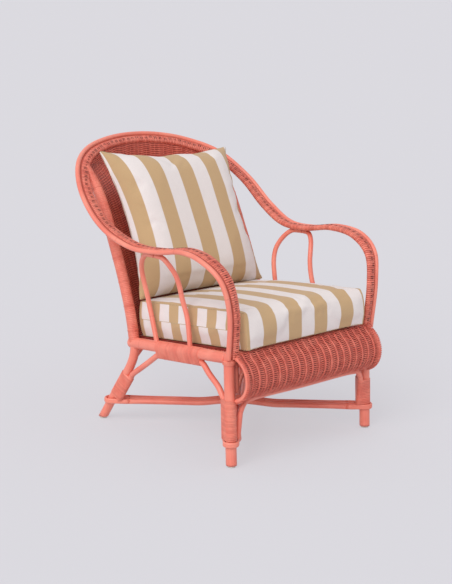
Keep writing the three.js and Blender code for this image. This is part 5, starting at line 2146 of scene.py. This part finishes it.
@dataclass
class Cushion:
    """A stuffed cover: cloth that is swollen by pressure, held to its design, creased at its seams, lined
    there with painted shade and laid in place.
    """

    chair: Chair
    name: str = ""
    cells: tuple[int, int, int] = (52, 52, 12)
    start_share: float = 0.99
    pressure: float = 1.0
    frames: int = 20
    cap: float = 22.0
    pucker: float = 0.04
    pucker_reach: float = 0.06
    settle: float = 3.0
    least_gather: float = 0.01
    part_size: int = 16
    keep: float = 0.1
    even_rounds: int = 30
    crease: float = 0.6
    seam_width: float = 1.6
    seam_height: float = 0.7
    fill: float = 0.6
    stiffness: float = 18.0
    bending: float = 0.3

    @property
    def node(self) -> str:
        """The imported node, and body, that it stands for."""
        return self.name.replace("_cover", "")

    def design(self, uvw: np.ndarray) -> np.ndarray:
        """The stuffed shape, made flat and centred on the origin, in millimetres."""
        raise NotImplementedError

    def limit(self, uvw: np.ndarray) -> np.ndarray:
        """How far the cloth may stand out from its design, in millimetres."""
        raise NotImplementedError

    def seams(self) -> list[tuple[int, float, float]]:
        """The seams, each as Block.line takes it."""
        raise NotImplementedError

    def stripes(self, panel: Panel, places: np.ndarray, points: np.ndarray) -> np.ndarray:
        """The cloth's map on a panel, in stripe widths and metres, from block places and flat points."""
        raise NotImplementedError

    def lay(self, points: np.ndarray) -> np.ndarray:
        """Lays flat points in their place on the chair."""
        raise NotImplementedError

    def swell(self, block: Block, start: np.ndarray, near_seam: np.ndarray) -> np.ndarray:
        """Swells the cover with Blender's cloth simulation.

        Args:
            block: The cover's cells.
            start: Flat points to start from.
            near_seam: 0 to 1, how much each point is gathered.

        Returns:
            The swollen points.
        """
        cover = mesh_object(f"{self.name}_cloth", start, block.quads)
        gathered = cover.vertex_groups.new(name="gathered")
        for number in np.flatnonzero(near_seam > self.least_gather):
            gathered.add([int(number)], float(near_seam[number]), "REPLACE")
        cloth = cover.modifiers.new("cloth", "CLOTH")
        sewn = cloth.settings
        sewn.use_pressure = True
        sewn.uniform_pressure_force = self.pressure
        sewn.effector_weights.gravity = 0.0
        sewn.tension_stiffness = sewn.compression_stiffness = self.stiffness
        sewn.bending_stiffness = self.bending
        sewn.vertex_group_shrink = gathered.name
        sewn.shrink_max = self.pucker
        cloth.point_cache.frame_end = self.frames
        scene = bpy.context.scene
        for number in range(1, self.frames + 1):
            scene.frame_set(number)
        graph = bpy.context.evaluated_depsgraph_get()
        moved = np.empty(len(start) * 3)
        cover.evaluated_get(graph).data.vertices.foreach_get("co", moved)
        scene.frame_set(1)
        mesh = cover.data
        bpy.data.objects.remove(cover)
        bpy.data.meshes.remove(mesh)
        step = moved.reshape(-1, 3) / MM - start
        length = np.linalg.norm(step, axis=1, keepdims=True)
        return start + step * np.minimum(1, self.cap / np.maximum(length, 1e-6))

    def evened(self, block: Block, step: np.ndarray) -> np.ndarray:
        """The broad part of the cover's movement, as the filling holds the cushion's form.

        Args:
            block: The cover's cells.
            step: How far each point moved.

        Returns:
            The movement, evened out over its neighbours again and again.
        """
        pairs = np.concatenate([block.quads[:, [0, 1]], block.quads[:, [1, 2]], block.quads[:, [2, 3]],
                                block.quads[:, [3, 0]]])
        number = np.bincount(pairs[:, 0], minlength=len(step))[:, None]
        for _ in range(self.even_rounds):
            total = np.bincount(pairs[:, 0], weights=step[pairs[:, 1], 0], minlength=len(step))
            step = (step + total[:, None] / number) / 2
        return step

    def build(self) -> None:
        """Makes the cover, swells it, lays it in place, creases its seams and lines them with painted shade.
        """
        block = Block(self.cells)
        wanted = self.design(block.uvw)
        lines = [block.line(*seam) for seam in self.seams()]
        points = self.stuffed(block, wanted, lines)
        piece = mesh_object(self.name, self.lay(points), block.quads, self.printed(block, wanted))
        self.crease_seams(piece.data, lines)
        rounded = piece.modifiers.new("rounded", "SUBSURF")
        rounded.levels = rounded.render_levels = 1
        graph = bpy.context.evaluated_depsgraph_get()
        fine = bpy.data.meshes.new_from_object(piece.evaluated_get(graph), depsgraph=graph)
        piece.modifiers.remove(rounded)
        piece.data = fine
        self.sew(fine, lines)
        dress(piece, StripedCanvas(), body=self.node, nodes=[self.node])

    def stuffed(self, block: Block, wanted: np.ndarray, lines: list[np.ndarray]) -> np.ndarray:
        """The cover's points once it is stuffed.

        Args:
            block: The cover's cells.
            wanted: The points of its design.
            lines: Point numbers of the seams.

        Returns:
            The design with the cloth's puckers and folds.
        """
        near = np.zeros(len(wanted))
        reach = self.pucker_reach * np.ptp(wanted[:, 0])
        for line in lines:
            for part in np.array_split(line, 1 + len(line) // self.part_size):
                away = np.linalg.norm(wanted[:, None] - wanted[part], axis=2).min(axis=1)
                near = np.maximum(near, np.exp(-(away / reach)**2))
        template = mesh_object(f"{self.name}_design", wanted, block.quads)
        facing = np.empty(len(wanted) * 3)
        template.data.vertex_normals.foreach_get("vector", facing)
        facing = facing.reshape(-1, 3)
        bpy.data.objects.remove(template)
        step = self.swell(block, wanted * self.start_share, near) - wanted
        out = np.sum(step * facing, axis=1, keepdims=True)
        broad = self.evened(block, out)
        return wanted + facing * np.clip(out - broad + broad * self.keep, -self.settle,
                                         self.limit(block.uvw)[:, None])

    def printed(self, block: Block, wanted: np.ndarray) -> np.ndarray:
        """The stripes' map of the whole cover, a pair for each corner of its quads.

        Args:
            block: The cover's cells.
            wanted: The points of its design.

        Returns:
            The map, one row a corner.
        """
        maps = np.empty((len(block.quads), 4, 2))
        kinds = np.array([list(Panel).index(panel) for panel in block.panels])
        for k, panel in enumerate(Panel):
            chosen = block.quads[kinds == k]
            maps[kinds == k] = self.stripes(panel, block.uvw[chosen], wanted[chosen])
        return maps.reshape(-1, 2)

    def crease_seams(self, mesh: bpy.types.Mesh, lines: list[np.ndarray]) -> None:
        """Keeps the seams crisp under the subdivision.

        Args:
            mesh: The cover's mesh.
            lines: Point numbers of the seams.
        """
        wanted = {tuple(sorted(map(int, pair))) for line in lines for pair in zip(line, line[1:])}
        ends = np.empty(len(mesh.edges) * 2, dtype=int)
        mesh.edges.foreach_get("vertices", ends)
        sharp = [self.crease if tuple(sorted(pair)) in wanted else 0.0
                 for pair in ends.reshape(-1, 2).tolist()]
        mesh.attributes.new("crease_edge", "FLOAT", "EDGE").data.foreach_set("value", sharp)

    def sew(self, mesh: bpy.types.Mesh, lines: list[np.ndarray]) -> None:
        """Lays a thin strip along each seam in darker canvas colours, painted shade of the seam's fold.

        Args:
            mesh: The subdivided cover, whose first points are those of the block.
            lines: Point numbers of the seams.
        """
        count = len(mesh.vertices)
        points, facing = np.empty(count * 3), np.empty(count * 3)
        mesh.vertices.foreach_get("co", points)
        mesh.vertex_normals.foreach_get("vector", facing)
        points, facing = points.reshape(-1, 3) / MM, facing.reshape(-1, 3)
        wires = Wires()
        for line in lines:
            wires.add(points[line], facing[line])
        wires.lay(f"{self.node}_seams", SewnSeam(), self.seam_width, self.seam_width * self.seam_height,
                  body=self.node)


@dataclass
class SeatCushion(Cushion):
    """The boxed seat cushion: its top runs over the front in one piece, and its sides have a zip."""

    deck: Optional[SeatDeck] = None
    name: str = "seat_cushion_cover"
    side_room: float = 29.0
    overhang: float = 51.0
    tuck: float = 0.5
    thickness: float = 114.0
    crown: float = 14.0
    bulge: float = 6.0
    draw: float = 5.0
    corner_share: float = 0.02
    front_radius: float = 34.0
    corner_radius_loss: float = 0.55
    lower_radius_share: float = 0.35
    bare_top_from: float = 0.45
    stand_out: float = 4.0
    stripe: float = 54.05
    stripe_start: float = -241.3
    side_stripe: float = 44.9
    side_start: float = 67.4
    side_step: float = 8.0
    wrap: float = 42.0

    @property
    def half(self) -> tuple[float, float, float]:
        """Half its width, depth and thickness.

        Returns:
            The three halves.
        """
        chair = self.chair
        return (chair.front_half_track - self.side_room, (chair.seat_depth + self.overhang) / 2,
                self.thickness / 2)

    @property
    def share(self) -> float:
        """Where its middle lies along the seat."""
        return 1 - (self.half[1] - self.tuck) / self.chair.seat_depth

    def design(self, uvw: np.ndarray) -> np.ndarray:
        """A crowned block with drawn-in sides, whose top edge is round at the front.

        Args:
            uvw: Places on the block, -1 to 1.

        Returns:
            Flat points.
        """
        u, v, w = uvw.T
        a, b, t = self.half
        corner = 1 - self.corner_share * (u * v)**8
        out = self.bulge * (1 - w * w) - self.bulge
        x = u * corner * (a + out - self.draw * (1 - v * v))
        y = v * corner * (b + out - self.draw * (1 - u * u))
        z = w * t + np.maximum(w, 0) * self.crown * (1 - u**4) * (1 - v**2)
        return np.stack([x, *self.rounded(y, z, u, b, t)], axis=1)

    def rounded(self, y: np.ndarray, z: np.ndarray, u: np.ndarray, b: float,
                t: float) -> tuple[np.ndarray, np.ndarray]:
        """Rounds the top edge at the front, where the cloth runs over it.

        Args:
            y: Depths.
            z: Heights.
            u: Places across, -1 to 1.
            b: Half the depth.
            t: Half the thickness.

        Returns:
            The rounded depths and heights.
        """
        radius = self.front_radius * (1 - self.corner_radius_loss * u**6)
        for way, r in ((1, radius), (-1, radius * self.lower_radius_share)):
            cy, cz = -b + self.bulge + r, way * (t - r)
            in_corner = (y < cy) & (z * way > cz * way)
            dy, dz = y - cy, z - cz
            reach = np.maximum(np.maximum(np.abs(dy), np.abs(dz)) / np.maximum(np.hypot(dy, dz), 1e-6), 0)
            y = np.where(in_corner, cy + dy * reach, y)
            z = np.where(in_corner, cz + dz * reach, z)
        return y, z

    def limit(self, uvw: np.ndarray) -> np.ndarray:
        """No further down onto the deck, nor up under the back cushion.

        Args:
            uvw: Places on the block, -1 to 1.

        Returns:
            One limit a point.
        """
        _, v, w = uvw.T
        under = (w < -0.99) | ((w > 0.99) & (v > self.bare_top_from))
        return np.where(under, 0.0, self.stand_out)

    def seams(self) -> list[tuple[int, float, float]]:
        """Round the sides, up the corners and along the zip.

        Returns:
            The axis and two places of each.
        """
        runs = [(1, w, u) for u in (-1, 1) for w in (-1, 0, 1)]
        across = [(0, 1, 1), (0, 1, -1), (0, -1, -1), (0, 1, 0)]
        return runs + across + [(2, u, v) for u in (-1, 1) for v in (self.wrap / self.half[1] - 1, 1)]

    def stripes(self, panel: Panel, places: np.ndarray, points: np.ndarray) -> np.ndarray:
        """Stripes run over top and front, round the front corners, and up and down on the sides.

        Args:
            panel: The cut panel.
            places: Its corners' places on the block.
            points: The same corners' flat points.

        Returns:
            The map, one row a corner.
        """
        y, z = points[..., 1], points[..., 2]
        across = places[..., 0] * self.half[0]
        if panel in (Panel.LEFT, Panel.RIGHT):
            low = z.mean(axis=1, keepdims=True) < 0
            depth = self.chair.depth(self.share) + y
            count = (self.side_start - self.side_step * low - depth) / self.side_stripe
            behind = y + self.half[1]
            front = (across + np.sign(across) * behind - self.stripe_start) / self.stripe
            in_front = y.mean(axis=1, keepdims=True) < self.wrap - self.half[1]
            return np.stack([np.where(in_front, front, count), z * MM], axis=-1)
        return np.stack([(across - self.stripe_start) / self.stripe, y * MM], axis=-1)

    def lay(self, points: np.ndarray) -> np.ndarray:
        """On the deck."""
        return self.deck.on_seat(points, self.share, self.deck.drop + self.chair.clearance + self.half[2])


@dataclass
class BackCushion(Cushion):
    """The back cushion: a pillow with pulled-out corners that leans on the woven back."""

    panel: Optional[BackPanel] = None
    seat: Optional[SeatCushion] = None
    name: str = "back_cushion_cover"
    cells: tuple[int, int, int] = (56, 56, 2)
    cap: float = 26.0
    side_room: float = 25.0
    height: float = 486.0
    thickness: float = 165.0
    edge: float = 12.0
    sewn_edge: float = 5.0
    power: float = 0.45
    front_power: float = 0.6
    rear_power: float = 0.95
    slack: float = 10.0
    edge_draw: float = 26.0
    foot_draw: float = 5.0
    upright: float = 3.6
    sag: float = 10.5
    drop: float = 1.5
    corner_drop: float = 7.0
    corner_pull: float = 4.0
    top_wave: float = 3.0
    top_waves: float = 3.2
    stand_out: float = 5.0
    seat_gap: float = 0.5
    stripe: float = 60.8
    stripe_start: float = -219.0
    stripe_slant: float = 0.034
    edge_cloth: float = 25.0

    @property
    def half(self) -> tuple[float, float]:
        """Half its width and height."""
        return self.chair.front_half_track - self.side_room, self.height / 2

    def pillow(self, uvw: np.ndarray, edge: float, front_power: float, rear_power: float) -> np.ndarray:
        """The even pillow shape.

        Args:
            uvw: Places on the block.
            edge: Thickness at the edge.
            front_power: How softly the front swells: low is flat with steep edges.
            rear_power: The same for the rear.

        Returns:
            Flat points.
        """
        u, v, w = uvw.T
        a, b = self.half
        full = np.maximum((1 - u**4) * (1 - v**4), 0)**np.where(w > 0, front_power, rear_power)
        draw = np.where(v < 0, self.foot_draw, self.edge_draw)
        return np.stack([u * (a - self.edge_draw * (1 - v * v) * np.abs(u)),
                         v * (b - draw * (1 - u * u) * np.abs(v)), w * mix(edge, self.thickness, full) / 2],
                        axis=1)

    def design(self, uvw: np.ndarray) -> np.ndarray:
        """The pillow as it has sagged: lower on its right, with a soft wave along its top.

        Args:
            uvw: Places on the block, -1 to 1.

        Returns:
            Flat points.
        """
        u, v, _ = uvw.T
        points = self.pillow(uvw, self.sewn_edge, self.front_power, self.rear_power)
        top = np.clip(v, 0, 1)**3
        points[:, 1] -= self.sag * u * mix(1, 0.35, np.clip(-v, 0, 1)) + self.drop
        points[:, 1] -= self.corner_drop * top * np.clip(u, 0, 1)**2
        points[:, 1] += self.top_wave * top * np.sin(self.top_waves * np.pi * u) * (1 - u**2)
        points[:, 0] += self.corner_pull * np.clip(u, 0, 1)**3 - self.slack * u * (1 - v * v) * np.abs(u)
        return points

    def limit(self, uvw: np.ndarray) -> np.ndarray:
        """No further back into the woven back, nor down onto the seat cushion."""
        _, v, w = uvw.T
        return np.where((w < 0) | (v < -0.8), 0.0, self.stand_out)

    def seams(self) -> list[tuple[int, float, float]]:
        """Once round the edge."""
        return [(1, 0, -1), (1, 0, 1), (0, -1, 0), (0, 1, 0)]

    def stripes(self, panel: Panel, places: np.ndarray, points: np.ndarray) -> np.ndarray:
        """Stripes run up and down, a little askew.

        Args:
            panel: The cut panel.
            places: Its corners' places on the block.
            points: The same corners' flat points.

        Returns:
            The map, one row a corner.
        """
        u, y = places[..., 0], places[..., 1] * self.half[1]
        loose = self.edge_cloth * smoothstep(places[..., 1], -1.0, -0.2)
        along = u * self.half[0] + loose * u * np.abs(u)**9
        start = self.stripe_start + self.stripe_slant * (self.half[1] - y)
        return np.stack([(along - start) / self.stripe, y * MM], axis=-1)

    def lay(self, points: np.ndarray) -> np.ndarray:
        """Leans it on the back and sets it down on the seat cushion.

        Args:
            points: Flat points.

        Returns:
            The points in their place.
        """
        foot, top = self.panel.place(np.array([0.0, 0.0]), np.array([0.0, 1.0]))
        lean = math.atan2(top[1] - foot[1], top[2] - foot[2]) - math.radians(self.upright)
        turn = np.array([[1, 0, 0], [0, math.sin(lean), math.cos(lean)],
                         [0, -math.cos(lean), math.sin(lean)]])
        even = self.pillow(Block((12, 12, 4)).uvw, self.edge, self.power, self.power) @ turn
        low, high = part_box("back_cushion")
        middle = np.array((low + high) / 2) / MM - (even.min(axis=0) + even.max(axis=0)) / 2
        return self.above_seat(points @ turn + middle)

    def above_seat(self, points: np.ndarray) -> np.ndarray:
        """The points, none lower than the top of the seat cushion.

        Args:
            points: Points in their place.

        Returns:
            The points, lifted where they have to be.
        """
        seat, deck = self.seat, self.seat.deck
        a, b, t = seat.half
        ground = deck.on_seat(np.zeros((1, 3)), seat.share, deck.drop + self.chair.clearance + t)[0]
        c, s = math.cos(deck.slope), math.sin(deck.slope)
        ahead, up = np.array([0, c, -s]), np.array([0, s, c])
        rel = points - ground
        u, v = np.clip(rel[:, 0] / a, -1, 1), np.clip(rel @ ahead / b, -1, 1)
        floor = t + seat.crown * (1 - u**4) * (1 - v**2) + self.seat_gap
        lift = np.maximum(0, floor - rel @ up)
        return points + lift[:, None] * up


def main() -> None:
    """Builds the armchair piece by piece."""
    logging.basicConfig(level=logging.INFO, format="%(message)s")
    chair, cane = Chair(), Cane()
    bow = Bow(chair)
    seat = SeatFrame(chair, bow, cane)
    deck = SeatDeck(chair, cane)
    back = BackPanel(chair, bow, seat.post_path())
    cushion = SeatCushion(chair, deck=deck)
    apron = Apron(chair, cane)
    parts = (Studio(), seat, BowDressing(chair, bow, cane), Windings(chair, cane, rod=apron.rod_path()),
             ArmLoops(chair, bow, cane), Stretchers(chair, cane), apron, back, deck, Glides(chair), cushion,
             BackCushion(chair, panel=back, seat=cushion))
    for part in parts:
        part.build()
        log.info("built %s", type(part).__name__)


if __name__ == "__main__":
    main()
